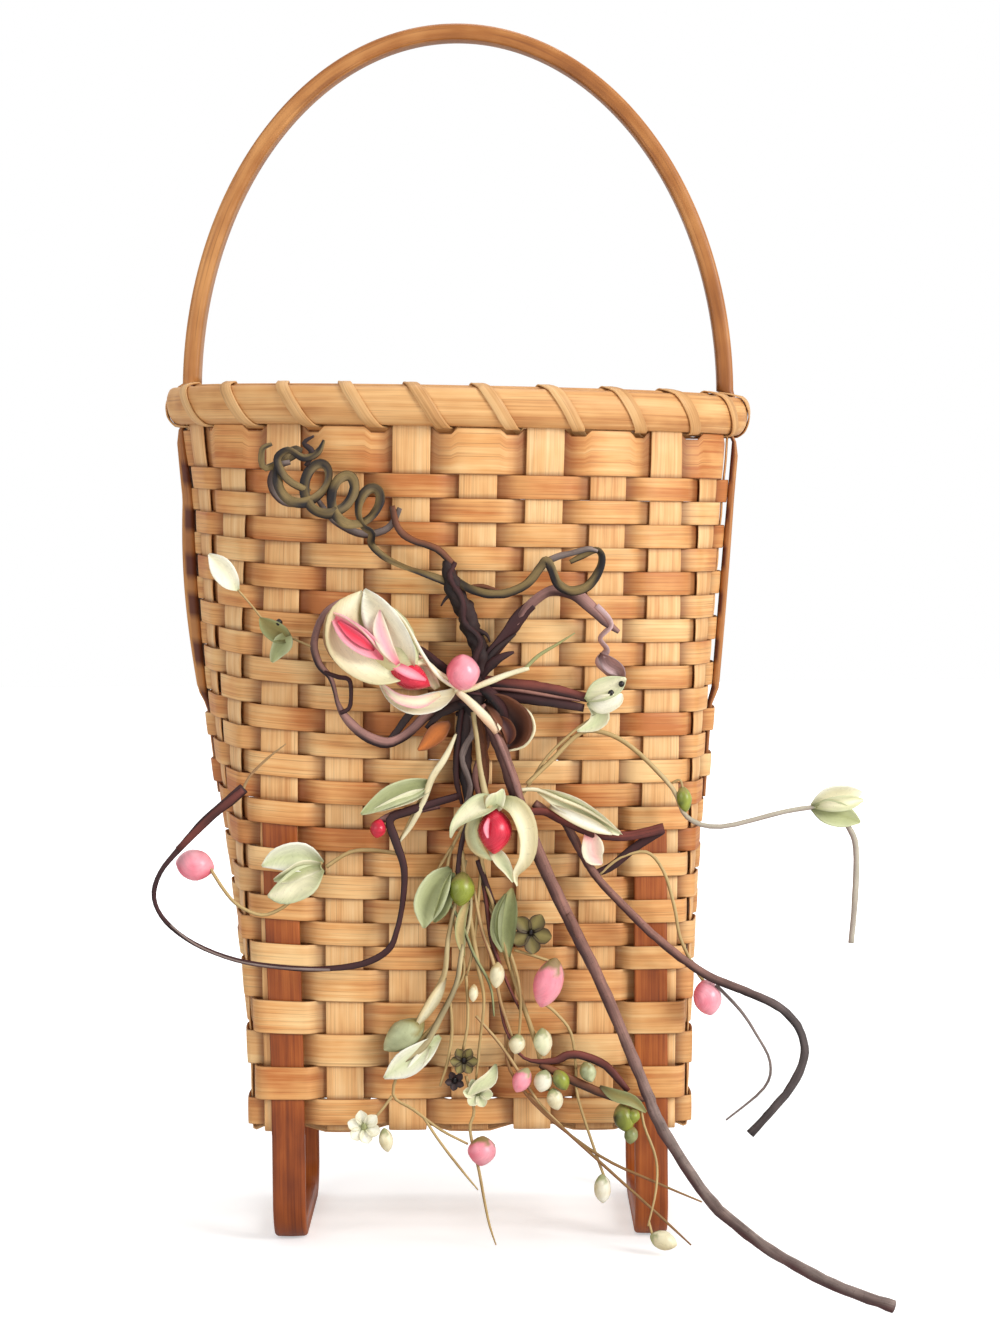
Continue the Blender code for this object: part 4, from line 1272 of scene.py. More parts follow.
def painted(name, streak, contrast, bump, speckle, roughest):
    """The painted colour with streaks along the fibre, specks, and gloss from the paint."""
    material = bpy.data.materials.new(name)
    made = Nodes(material)
    grain = made.attribute("grain", "Vector")
    paint = made.add("Attribute", attribute_name="paint")
    fine = made.streaks(grain, streak, 4.0, 0.65)
    cloud = made.noise(grain, 130)
    share = made.math("ADD", made.math("MULTIPLY", fine, 0.6), made.math("MULTIPLY", cloud, 0.4))
    span = made.span(share, 0.3, 0.7, 1 - contrast, 1 + contrast * 0.55)
    scaled = made.vector("SCALE", paint.outputs["Color"], span)
    specks = made.noise(grain, 900, 1.0)
    speck = made.math("MULTIPLY", made.math("GREATER_THAN", specks, 0.66), speckle)
    colour = made.mix(speck, scaled, lin(60, 30, 20))
    rough = made.math("MULTIPLY_ADD", paint.outputs["Alpha"], -0.5, roughest)
    rough = made.math("ADD", rough, made.math("MULTIPLY", fine, 0.12))
    made.finish(colour, rough, share, bump)
    return material


BARK_LOOK = painted("vine_bark", (60, 1300, 1), 0.6, 0.5 * MM, 0.35, 0.8)
RIBBON_LOOK = painted("vine_ribbon", (40, 1500, 1), 0.4, 0.25 * MM, 0.2, 0.72)
PETAL_LOOK = painted("petal_skin", (120, 1100, 1), 0.16, 0.14 * MM, 0.1, 0.66)


def tint(red, green, blue):
    return lin(red, green, blue)[:3]


BLACK = tint(16, 7, 9)
BARK = tint(52, 28, 24)
PLUM = tint(66, 26, 26)
PALE_GREY = tint(186, 178, 158)
VINE_FACE = tint(126, 104, 62)
CHARCOAL = tint(92, 80, 78)
MAUVE = tint(172, 126, 116)
GREY_VINE = tint(150, 132, 124)
PALE_MAUVE = tint(206, 176, 176)
TWIG_DARK = tint(64, 34, 32)
TWIG = tint(154, 108, 94)
OLIVE = tint(140, 108, 60)
OLIVE_DARK = tint(52, 28, 18)
OLIVE_PALE = tint(198, 170, 116)
CREAM = tint(242, 234, 200)
CREAM_SHADE = tint(208, 190, 142)
WHITE = tint(250, 246, 228)
GREENISH = tint(206, 210, 164)
LEAF = tint(160, 164, 112)
LEAF_DARK = tint(100, 104, 62)
KHAKI = tint(140, 126, 70)
GREEN = tint(156, 164, 62)
GREEN_DARK = tint(84, 94, 30)
PINK = tint(250, 176, 186)
ROSE = tint(232, 100, 122)
RED = tint(232, 52, 76)
RED_DARK = tint(140, 14, 30)
MAROON = tint(34, 10, 14)
MAROON_FACE = tint(124, 58, 46)
BROWN = tint(128, 74, 44)
RUST = tint(204, 116, 46)
PEACH = tint(222, 176, 140)
BLUSH = tint(238, 184, 176)
# The colours of pieces of which there are many: the colour of their painted light and of their painted
# shade, between which their own patches also vary.
STRAW = (OLIVE_PALE, OLIVE)
CREAMS = (CREAM, CREAM_SHADE)
BARK_DARK = (BARK, BLACK)
PLUM_DARK = (PLUM, BLACK)

# The tables. A row holds what it makes, its colours, its shape and its route. A stem's shape is its
# depth beside its width, roughness, sides, steps, twist, patchiness, gloss and the colours of its
# far part; a petal's its cup, turn, thickness, steps and gloss; a bud's its fullness and gloss; and
# a flower's how many petals it has and at which angle they start.

# The tie: its core, the shreds that stand off it, and the wraps round it.
KNOT = (
    (bud, (BARK, BLACK, None), (0.4, 0.2), (472, 662, 8.4, 10.5), (474, 720, 8.4, 0)),
    (stem, PLUM_DARK, (0.4, 0.12, 9, 6, 0.8), (474, 694, 10, 3), (452, 676, 11, 4.6),
     (434, 662, 11, 4.8), (420, 650, 10, 3.4), (410, 640, 9, 1)),
    (stem, PLUM_DARK, (0.4, 0.12, 9, 6), (470, 684, 10, 3), (488, 692, 13, 5), (500, 706, 13, 5),
     (506, 724, 12, 3)),
    (stem, BARK_DARK, (0.5, 0.12, 9, 6), (470, 700, 10, 3.4), (456, 706, 11, 4), (440, 714, 11, 3.4),
     (426, 728, 10, 1.6)),
    (stem, PLUM_DARK, (0.5, 0.12, 9, 6), (478, 680, 10, 3), (492, 664, 11, 4), (504, 656, 11, 3),
     (514, 652, 10, 1)),
    (stem, PLUM_DARK, (0.8, 0.1, 7, 2), *wraps(471, 672, 8.4, 1.9, (14, 5.8), 43)),
)

# The main stem above the knot.
STEM_ABOVE = (
    (stem, BARK_DARK, (0.9, 0.25, 11, 9), (447, 560, 8, 3.4), (451, 578, 8.2, 6), (456, 592, 8, 7.2),
     (466, 613, 8, 7.4), (474, 636, 8, 7.4), (481, 655, 8, 7.6), (478, 672, 8, 7),
     (474, 690, 8.4, 5.6)),
    (stem, PLUM_DARK, (0.8, 0.3, 7, 8), (455, 562, 9, 2), (450, 578, 10.5, 2.6), (462, 600, 11.5, 2.8),
     (464, 622, 11.5, 2.8), (480, 640, 11.5, 2.8), (474, 662, 11.5, 2.8), (484, 676, 10, 2.6)),
    (stem, BARK_DARK, (0.8, 0.2), (457, 592, 8.5, 2.4), (447, 597, 8.5, 1.6), (441, 606, 8.5, 0.6)),
    (stem, BARK_DARK, (0.8, 0.2), (474, 630, 8.5, 2.4), (486, 634, 9, 1.8), (490, 642, 9, 0.6)),
)

# The main stem below the knot.
STEM_BELOW = (
    (stem, BARK_DARK, (0.9, 0.2, 9, 6), (472, 700, 8.4, 5.4), (467, 730, 8.6, 5.8),
     (465, 760, 8.4, 5.4), (468, 790, 8.2, 5), (472, 816, 8.4, 3.6)),
    (stem, (BROWN, BLACK), (0.9, 0.15, 8, 6), (480, 702, 8.6, 4.6), (480, 735, 10, 5),
     (484, 765, 9, 4.6), (482, 800, 9.4, 3.6)),
    (stem, PLUM_DARK, (0.9, 0.15, 8, 6), (462, 706, 8.8, 2.4), (458, 740, 9.6, 2.8),
     (456, 775, 9.4, 2.6), (462, 804, 8.8, 1.6)),
    (stem, (GREY_VINE, BARK), (0.9, 0.15, 8, 6), (466, 704, 8.6, 3), (474, 728, 11, 2.8),
     (462, 756, 10.6, 2.8), (470, 786, 10.4, 2.6), (464, 812, 9, 2)),
    (stem, (TWIG, PLUM), (0.9, 0.12, 8, 6), (482, 706, 8, 3), (487, 740, 8.4, 2.8), (475, 775, 11, 2.6),
     (484, 808, 9, 2)),
)

# The left tendril's longest vine: from the knot, round its corkscrew, and past it.
COIL = (
    (448, 582, 8.6, 3.4), (428, 575, 10, 3.4), (407, 568, 10.5, 3.4), (386, 558, 10.5, 3.2),
    (372, 545, 10.5, 3.2), *curl((380, 514), (288, 474), 10.5, (21, 24), 3.5, 4.3),
    (266, 468, 11, 3), (262, 450, 12, 2.8), (272, 444, 12, 1.6),
)
TENDRIL_LEFT = (
    (stem, (VINE_FACE, BLACK), (0.26, 0.06, 9, 4, 2.6, 2.2), *COIL),
    (stem, (BROWN, BLACK), (0.4, 0.06, 8, 4, 0.8), (392, 506, 12, 2.6), (398, 528, 11, 3),
     (412, 540, 11, 3), (437, 549, 10, 3), (454, 566, 8.6, 2.8)),
    (stem, (GREY_VINE, OLIVE_DARK), (0.3, 0.06, 8, 5, 1.0), (400, 508, 9, 2), (388, 528, 9.4, 3),
     (362, 534, 9.4, 3.2), (334, 520, 9.4, 3), (318, 500, 9, 2)),
    (stem, (VINE_FACE, BLACK), (0.35, 0.1, 8, 5, 1.8, 2.2), (310, 492, 12, 2.4), (288, 480, 13, 3.2),
     (277, 460, 12, 3.4), (288, 450, 12, 3), (304, 458, 12, 3), (318, 452, 11, 3), (324, 440, 11, 1.4)),
    (stem, (GREY_VINE, OLIVE_DARK), (0.35, 0.1, 8, 5, 1.4), (306, 504, 9, 2.4), (284, 502, 8, 3),
     (271, 486, 8, 3), (276, 468, 9, 3), (290, 462, 10, 2)),
    (stem, BARK_DARK, (0.5, 0.1), (306, 466, 10, 2), (312, 452, 11, 2.6), (304, 443, 11, 2),
     (314, 436, 11, 1)),
)

# The right tendril.
TENDRIL_RIGHT = (
    (stem, (VINE_FACE, BLACK), (0.32, 0.06, 9, 5, 1.2, 1.8), (458, 582, 9, 3.4), (470, 589, 11, 3.6),
     (488, 594, 13, 3.8), (507, 593, 13, 3.8), (527, 584, 13, 3.8), (540, 568, 13, 3.8),
     (546, 561, 13.5, 3.8), (551, 568, 13, 3.8), (558, 584, 13, 4), (572, 591, 13, 4.2),
     (588, 586, 13, 4), (599, 571, 12.5, 4), (602, 557, 12, 3.8), (596, 550, 11, 3.4),
     (582, 556, 10, 3), (570, 562, 10, 2)),
    (stem, (GREY_VINE, BLACK), (0.4, 0.08, 8, 5, 1.0), (541, 566, 12, 2.4), (554, 558, 11, 3),
     (572, 553, 11, 3), (588, 549, 11.5, 3), (598, 551, 12, 2)),
    (stem, (BROWN, BLACK), (0.6, 0.1, 7, 4), (462, 590, 9, 2), (478, 586, 10, 2), (495, 590, 12, 2),
     (508, 596, 12.5, 1.2)),
)

# The straps of flat vine to the right of the knot.
STRAP_RIGHT = (
    (stem, (PLUM, MAROON), (0.3, 0.06, 10, 6, 1.0), (476, 680, 8, 5), (490, 656, 8, 6),
     (506, 636, 8, 6), (520, 616, 8.6, 5.6), (532, 604, 9, 4.6)),
    (stem, (MAUVE, TWIG_DARK), (0.26, 0.04, 10, 6, 1.2), (516, 624, 8.8, 2), (530, 605, 9.4, 4.6),
     (551, 591, 9, 5.4), (574, 594, 8.6, 5.6), (592, 608, 8.6, 5.2), (606, 622, 8.2, 4.4),
     (619, 632, 8, 2)),
    (stem, (MAROON_FACE, MAROON), (0.3, 0.08, 10, 5, 0.5), (482, 680, 9, 4.4), (505, 684, 9.8, 5),
     (529, 686, 9.8, 5), (558, 691, 9.4, 4.8), (588, 698, 8.5, 3.6)),
    (stem, (PLUM, MAROON), (0.3, 0.08, 10, 5, 0.5), (480, 694, 8.6, 4), (510, 697, 9.2, 4.8),
     (540, 700, 9.2, 4.6), (584, 708, 8.4, 3.4)),
    (stem, (TWIG, PLUM), (0.6,), (484, 688, 10.6, 1.2), (520, 691, 11.4, 1.6), (556, 697, 10.8, 1.4),
     (580, 701, 9.6, 0.8)),
    (stem, (PALE_MAUVE, MAUVE), (0.3, 0.08, 9, 6, 2.2), (596, 606, 8.6, 3), (611, 624, 9, 3.4),
     (600, 638, 9.4, 3.6), (607, 650, 9, 3.6), (599, 662, 9, 3.8), (611, 672, 9.6, 4.6),
     (621, 682, 9, 3)),
    (petal, (MAUVE, PALE_MAUVE, PLUM), (0.8, 0.4), (600, 654, 9, 2), (610, 660, 10.6, 6.6),
     (620, 668, 10.6, 6), (624, 680, 9, 1.4)),
)

# The loop of flat vine to the left of the knot.
STRAP_LEFT = (
    (stem, (MAUVE, MAROON), (0.28, 0.05, 9, 4, 1.1), (460, 684, 8, 4), (434, 668, 7, 4),
     (404, 640, 7, 3.6), (384, 612, 7, 3.4), (364, 598, 7, 3.2), (342, 602, 7, 3.2), (323, 616, 7.5, 3),
     (314, 643, 7.5, 3.2), (319, 664, 8, 3.4), (330, 677, 8, 2.4), (335, 692, 8, 1.9),
     (338, 704, 8, 2.2), (346, 718, 8, 3.6), (364, 735, 8, 4.6), (387, 743, 8.5, 4.8),
     (407, 734, 8.5, 4.8), (426, 716, 8.5, 4.6), (446, 702, 8.6, 4.4), (464, 694, 8.6, 4)),
    (stem, (PLUM, MAROON), (0.5, 0.05, 7, 5), (324, 672, 8.6, 1.6), (338, 677, 9, 2), (349, 680, 9, 2),
     (351, 694, 9, 1.8), (349, 708, 9, 2), (340, 713, 8.6, 1.8)),
    (stem, BARK_DARK, (0.4, 0.08, 8, 4, 0.8), (448, 694, 9, 3), (428, 700, 9.5, 3.4),
     (410, 714, 9.5, 3.4), (398, 730, 9, 3), (388, 741, 8.6, 2)),
    (stem, BARK_DARK, (0.6, 0.1, 7, 4), (480, 672, 9, 3), (494, 652, 9.5, 2.8), (508, 640, 9, 2),
     (516, 634, 9, 0.8)),
)

# The long curl to the lower left.
CURL_LEFT = (
    (stem, (PLUM, MAROON), (0.3, 0.04, 8, 4, 1.0), (459, 796, 9.3, 3), (434, 803, 12, 3.4),
     (408, 811, 13, 3.6), (390, 820, 13, 3.6), (396, 842, 13, 3.6), (404, 868, 13, 3),
     (403, 900, 13, 2.4), (397, 930, 13, 2.4), (388, 950, 13, 3), (362, 964, 13, 2.8),
     (320, 969, 13, 2.4), (280, 967, 13, 2.2), (236, 960, 13, 2), (195, 944, 13, 1.9),
     (166, 922, 13, 1.9), (154, 898, 13, 2), (160, 873, 13, 2.4), (180, 848, 13, 3),
     (206, 820, 13, 3.8), (228, 802, 13, 4.6), (244, 788, 13, 4.6)),
    (stem, (GREY_VINE, PLUM), (0.6,), (330, 970, 14, 1.2), (280, 968, 14, 1.2), (236, 961, 14, 1.1),
     (196, 945, 14, 1), (170, 925, 14, 0.8)),
    (stem, (OLIVE_PALE, BROWN), (0.8, 0.05, 7, 4), (242, 792, 13, 1.4), (250, 776, 12, 1.2),
     (268, 758, 11, 1), (286, 744, 10, 0.5)),
    (stem, (MAROON_FACE, MAROON), (0.2, 0.04, 7, 4), (178, 850, 14, 3), (206, 822, 14.4, 3.4),
     (230, 801, 14.4, 3.4), (243, 790, 13.6, 3)),
)

# The long twig: the near part of its route in the picture, the rest beside the knot.
TWIG_NEAR = (
    (480, 706, 12, 5), (490, 724, 13, 5.4), (506, 762, 15, 5.6), (522, 813, 15, 5.6),
    (543, 864, 15, 5.4), (568, 917, 15.5, 5.4), (596, 973, 17, 5.2),
)
TWIG_FAR = (
    (63, -146, 20), (71, -165.6, 28), (77, -179, 40), (93, -200, 70), (105, -208, 92),
    (118, -214.5, 108), (138, -222, 126), (159, -226.5, 142),
)
TWIG_LONG = (
    (stem_through, (TWIG, TWIG_DARK), (0.55, 0.1, 10, 6, 0.7, 0.5, 0.4, (GREY_VINE, PLUM)),
     *picked(TWIG_NEAR), *placed(4.8, TWIG_FAR)),
    (stem, (MAUVE, PLUM), (0.7, 0.1, 7, 5), (484, 712, 14, 2.4), (498, 740, 16.6, 2.4),
     (512, 776, 17, 2.2), (524, 812, 17, 2), (536, 846, 16.6, 1.2)),
    (stem, (TWIG, TWIG_DARK), (0.9, 0.2), (568, 914, 16.5, 2.6), (574, 925, 18, 3),
     (578, 938, 16.5, 2)),
    (stem, (MAROON_FACE, PLUM), (0.3, 0.05, 8, 5, 0.8), (527, 812, 14, 3), (545, 812, 12.6, 3.4),
     (562, 821, 12, 3.6), (593, 833, 12, 4), (626, 836, 12, 4.2), (664, 828, 11, 4.4)),
    (stem, (PLUM, MAROON), (0.3, 0.05, 8, 5, 0.8), (662, 830, 10.6, 3.8), (634, 848, 9, 3.8),
     (612, 866, 9, 3.6), (594, 874, 9, 3)),
)

# The shorter twig to the lower right, beside the knot.
TWIG_SIDE_ROUTE = (
    (25.4, -45.5, 11), (31, -49.5, 9), (38, -54, 9), (45, -67, 9), (52, -78, 9), (64, -91, 9),
    (74, -101, 10), (86, -111, 12), (98, -119, 14), (113, -125, 17), (126, -131, 19), (134, -139, 21),
    (137, -150, 23), (132, -163, 24), (123, -174, 25), (114, -184, 25),
)
TWIG_SIDE = (
    (stem_through, (TWIG, TWIG_DARK), (0.5, 0.1, 9, 5, 0.8, 0.5, 0.3, (CHARCOAL, BLACK)),
     *placed(3.7, TWIG_SIDE_ROUTE)),
    (stem, (GREY_VINE, CHARCOAL), (0.8, 0.05, 7, 4), (716, 985, 13, 1.6), (740, 1010, 14, 1.4),
     (756, 1034, 14, 1.2), (770, 1062, 14, 1.2), (764, 1088, 14, 1.2), (726, 1120, 13, 0.8)),
)

# The large flower above, with the pink bud in front of the knot.
FLOWERS_ABOVE = (
    (bud, (GREENISH, CREAM_SHADE, None), (0.62, 0.3), (414, 676, 18, 24), (352, 598, 21, 0)),
    (petal, (CREAM, CREAM_SHADE, GREENISH), (0.25, 0.35), (408, 674, 22, 4), (380, 672, 27, 12),
     (356, 658, 30, 16), (342, 638, 31, 16), (344, 614, 30, 13), (362, 591, 25, 1)),
    (petal, (CREAM, WHITE, CREAM_SHADE), (0.3, -0.3), (410, 668, 22, 4), (400, 646, 30, 13),
     (386, 624, 33, 15), (374, 606, 30, 11), (365, 589, 26, 1)),
    (petal, (PINK, CREAM, ROSE), (0.2,), (398, 664, 29, 2), (386, 646, 34, 6), (380, 628, 35, 6),
     (380, 610, 32, 1)),
    (petal, (ROSE, PINK, ROSE), (0.5,), (384, 658, 29, 2), (366, 644, 34, 9), (348, 630, 35, 9),
     (331, 614, 31, 1)),
    (petal, (RED, ROSE, RED_DARK), (0.4,), (374, 650, 33, 1), (362, 641, 36, 4), (350, 632, 36, 4),
     (338, 621, 34, 1)),
    (stem, (PINK, CREAM_SHADE), (0.8,), (330, 612, 32, 0.8), (346, 618, 36, 1.2), (362, 630, 37, 1.2),
     (378, 648, 34, 1.4), (390, 662, 30, 1)),
    (stem, (OLIVE_PALE, BROWN), (0.8,), (346, 598, 26, 1), (328, 616, 30, 1.7), (326, 642, 31, 2),
     (338, 662, 31, 2), (358, 676, 29, 1.8), (384, 682, 25, 1.2)),
    (stem, CREAMS, (0.9,), (460, 684, 13.6, 2), (440, 674, 16, 2.2), (424, 662, 18, 2.6),
     (408, 668, 20, 4), (396, 672, 21, 6)),
    (stem, (WHITE, CREAM_SHADE), (0.8,), (366, 593, 25, 0.8), (386, 604, 28, 1.2), (404, 622, 27, 1.5),
     (420, 650, 22, 1.7), (437, 675, 17, 1.8), (458, 689, 14.4, 1.8)),
    (petal, (CREAM, WHITE, CREAM_SHADE), (0.5, 0.3), (456, 690, 14, 2), (438, 702, 15, 8),
     (414, 707, 15, 8), (392, 698, 15, 5), (378, 680, 14, 1)),
    (petal, (CREAM, PINK, CREAM_SHADE), (0.4, -0.3), (438, 688, 14, 3), (424, 668, 13, 8),
     (404, 658, 13, 8), (386, 662, 13, 1)),
    (petal, (CREAM, PINK, CREAM_SHADE), (0.4,), (440, 694, 17, 2), (420, 702, 19, 5), (398, 698, 19, 4),
     (382, 684, 17, 1)),
    (bud, (RED, RED_DARK, None), (0.8, 0.9), (430, 686, 19, 11.5), (388, 666, 24, 0)),
    (petal, (PINK, ROSE, ROSE), (0.3,), (426, 680, 24, 1), (412, 674, 27, 4), (400, 668, 27, 4),
     (388, 662, 24, 1)),
    (bud, (PINK, ROSE, None), (0.55, 1.0), (464, 690, 14, 14), (462, 655, 18, 0)),
    (stem, CREAMS, (0.8,), (455, 691, 15, 2.2), (470, 689, 16.6, 2.4), (486, 683, 17, 2.6),
     (506, 675, 16, 2.4), (529, 668, 15, 1.8)),
    (stem, (LEAF, KHAKI), (0.8,), (524, 670, 15, 1.6), (538, 656, 15, 1.5), (556, 645, 15, 1.2),
     (575, 633, 14, 0.5)),
    (stem, (CREAM, PEACH), (0.7,), (458, 692, 16, 2.6), (470, 702, 18, 3.4), (484, 716, 18, 4),
     (498, 731, 17, 4.2)),
)

# The leaves, husk and small flower round the knot.
LEAVES_MIDDLE = (
    (petal, (CREAM, GREENISH, LEAF), (0.5,), (586, 700, 9, 2), (600, 690, 11, 9), (616, 684, 12, 8),
     (626, 678, 12, 1)),
    (petal, (WHITE, CREAM, LEAF), (0.4,), (588, 704, 9, 2), (602, 704, 12, 8), (616, 700, 13, 6),
     (622, 694, 12, 1)),
    (petal, (GREENISH, CREAM, LEAF_DARK), (0.5,), (588, 702, 9, 2), (600, 713, 10, 8),
     (594, 724, 10, 6), (577, 731, 10, 1)),
    (bud, (BLACK, BLACK), (), (621, 687, 12.5, 2.6), (622, 681, 13.5, 0)),
    (bud, (BLACK, BLACK), (), (610, 696, 13, 2.6), (612, 690, 14, 0)),
    (petal, (BARK, BROWN, BLACK), (0.7,), (486, 700, 10, 3), (500, 706, 12, 11), (513, 720, 11, 15),
     (514, 736, 11, 12), (506, 750, 12, 1)),
    (petal, (PLUM, BROWN, BLACK), (0.6,), (498, 716, 13, 1), (506, 724, 14, 5), (510, 734, 14, 5),
     (508, 744, 13, 1)),
    (bud, (BLACK, BLACK), (), (526, 714, 13, 3.6), (532, 724, 14, 0)),
    (stem, CREAMS, (0.8,), (520, 706, 14, 0.7), (530, 714, 15, 1.3), (534, 730, 16, 1.5),
     (524, 746, 15, 1.4), (503, 752, 12.6, 0.7)),
    (petal, (RUST, BROWN, BARK), (0.4,), (450, 722, 9.4, 2), (438, 732, 10, 8), (426, 744, 9.6, 5),
     (418, 750, 9, 1)),
    (stem, STRAW, (0.8,), (596, 716, 10, 1.2), (574, 731, 10, 1.2), (547, 757, 10, 1.2),
     (529, 785, 11, 1.2), (519, 800, 13, 1.2)),
    (stem, STRAW, (0.8,), (460, 728, 9.6, 1.4), (446, 755, 11, 1.4), (430, 780, 11, 1.6),
     (414, 812, 11, 1.4), (400, 840, 11, 1)),
    (petal, (LEAF, GREENISH, LEAF_DARK), (0.5,), (432, 782, 11, 2), (414, 787, 12, 8),
     (392, 795, 13, 9), (372, 807, 12, 5), (361, 814, 11, 1)),
    (petal, (GREENISH, CREAM, LEAF_DARK), (0.6, 0.4), (430, 790, 12, 1.6), (412, 798, 14, 5),
     (390, 806, 14, 4), (372, 812, 12, 1)),
    (stem, CREAMS, (0.5, 0.06, 8, 5, 0.8), (456, 734, 11, 1), (446, 756, 12.4, 2.6), (432, 778, 13, 3),
     (424, 800, 13, 2.4), (412, 824, 12, 2.2), (398, 844, 11, 0.8)),
    (stem, (MAUVE, PLUM), (0.3,), (440, 806, 9.4, 2.4), (416, 810, 10, 3.6), (392, 816, 10.5, 3.6),
     (374, 824, 10.5, 2)),
    (bud, (RED, RED_DARK, None), (0.6, 1.0), (380, 819, 11.6, 7), (376, 838, 12, 0)),
)

# The open pod with its red seed.
POD_OPEN = (
    (stem, (CREAM_SHADE, OLIVE), (0.9,), (473, 712, 13.4, 2), (477, 740, 15.6, 2), (480, 768, 17, 2.2),
     (486, 796, 18, 3), (492, 812, 18, 5)),
    (bud, (RED, RED_DARK, None), (0.7, 0.9), (496, 808, 19, 14.5), (494, 854, 22, 0)),
    (petal, (CREAM, GREENISH, LEAF), (0.6, 0.5), (500, 802, 18, 4), (484, 808, 19, 10),
     (468, 816, 20, 8), (456, 826, 21, 4), (451, 838, 21, 0.8)),
    (petal, (GREENISH, OLIVE_PALE, LEAF_DARK), (0.5, 0.3), (484, 806, 17, 2), (474, 826, 18, 6),
     (478, 846, 19, 6), (492, 860, 20, 1)),
    (petal, (GREENISH, CREAM, LEAF), (0.4,), (490, 812, 18, 3), (495, 802, 20, 8), (500, 796, 20, 5),
     (503, 789, 19, 1)),
    (petal, (CREAM, CREAM_SHADE, LEAF), (0.6, -0.5), (498, 802, 18, 4), (514, 810, 20, 9),
     (524, 832, 21, 9), (523, 856, 21, 7), (514, 874, 19, 3), (517, 886, 18, 0.8)),
    (petal, (GREENISH, CREAM, OLIVE), (0.5,), (490, 846, 18, 3), (500, 858, 20, 6), (508, 870, 20, 4),
     (513, 882, 19, 0.8)),
    (petal, (PINK, ROSE, RED), (0.2, 0.0, 0.5, 4, 0.9), (489, 818, 26.4, 1), (486, 828, 29, 2.4),
     (488, 838, 28, 1)),
)

# The leaf beside the long twig.
LEAF_BY_TWIG = (
    (petal, (GREENISH, CREAM, OLIVE_PALE), (0.5, 0.3), (538, 790, 12, 2), (556, 796, 12, 7),
     (580, 808, 13, 9), (602, 822, 13, 7), (622, 835, 12, 1)),
    (petal, (WHITE, CREAM_SHADE, OLIVE), (0.5,), (550, 806, 12.6, 2), (572, 816, 14.6, 5),
     (594, 826, 14.6, 5), (612, 834, 13, 1)),
    (stem, CREAMS, (0.7,), (520, 790, 13.6, 1.6), (538, 790, 12.6, 1.8), (562, 800, 14, 1.8),
     (590, 812, 15, 1.6), (620, 832, 13, 0.8)),
    (petal, (BLUSH, CREAM, ROSE), (0.4,), (588, 832, 11, 3), (592, 844, 12, 9), (594, 856, 12, 8),
     (602, 864, 11, 1)),
)

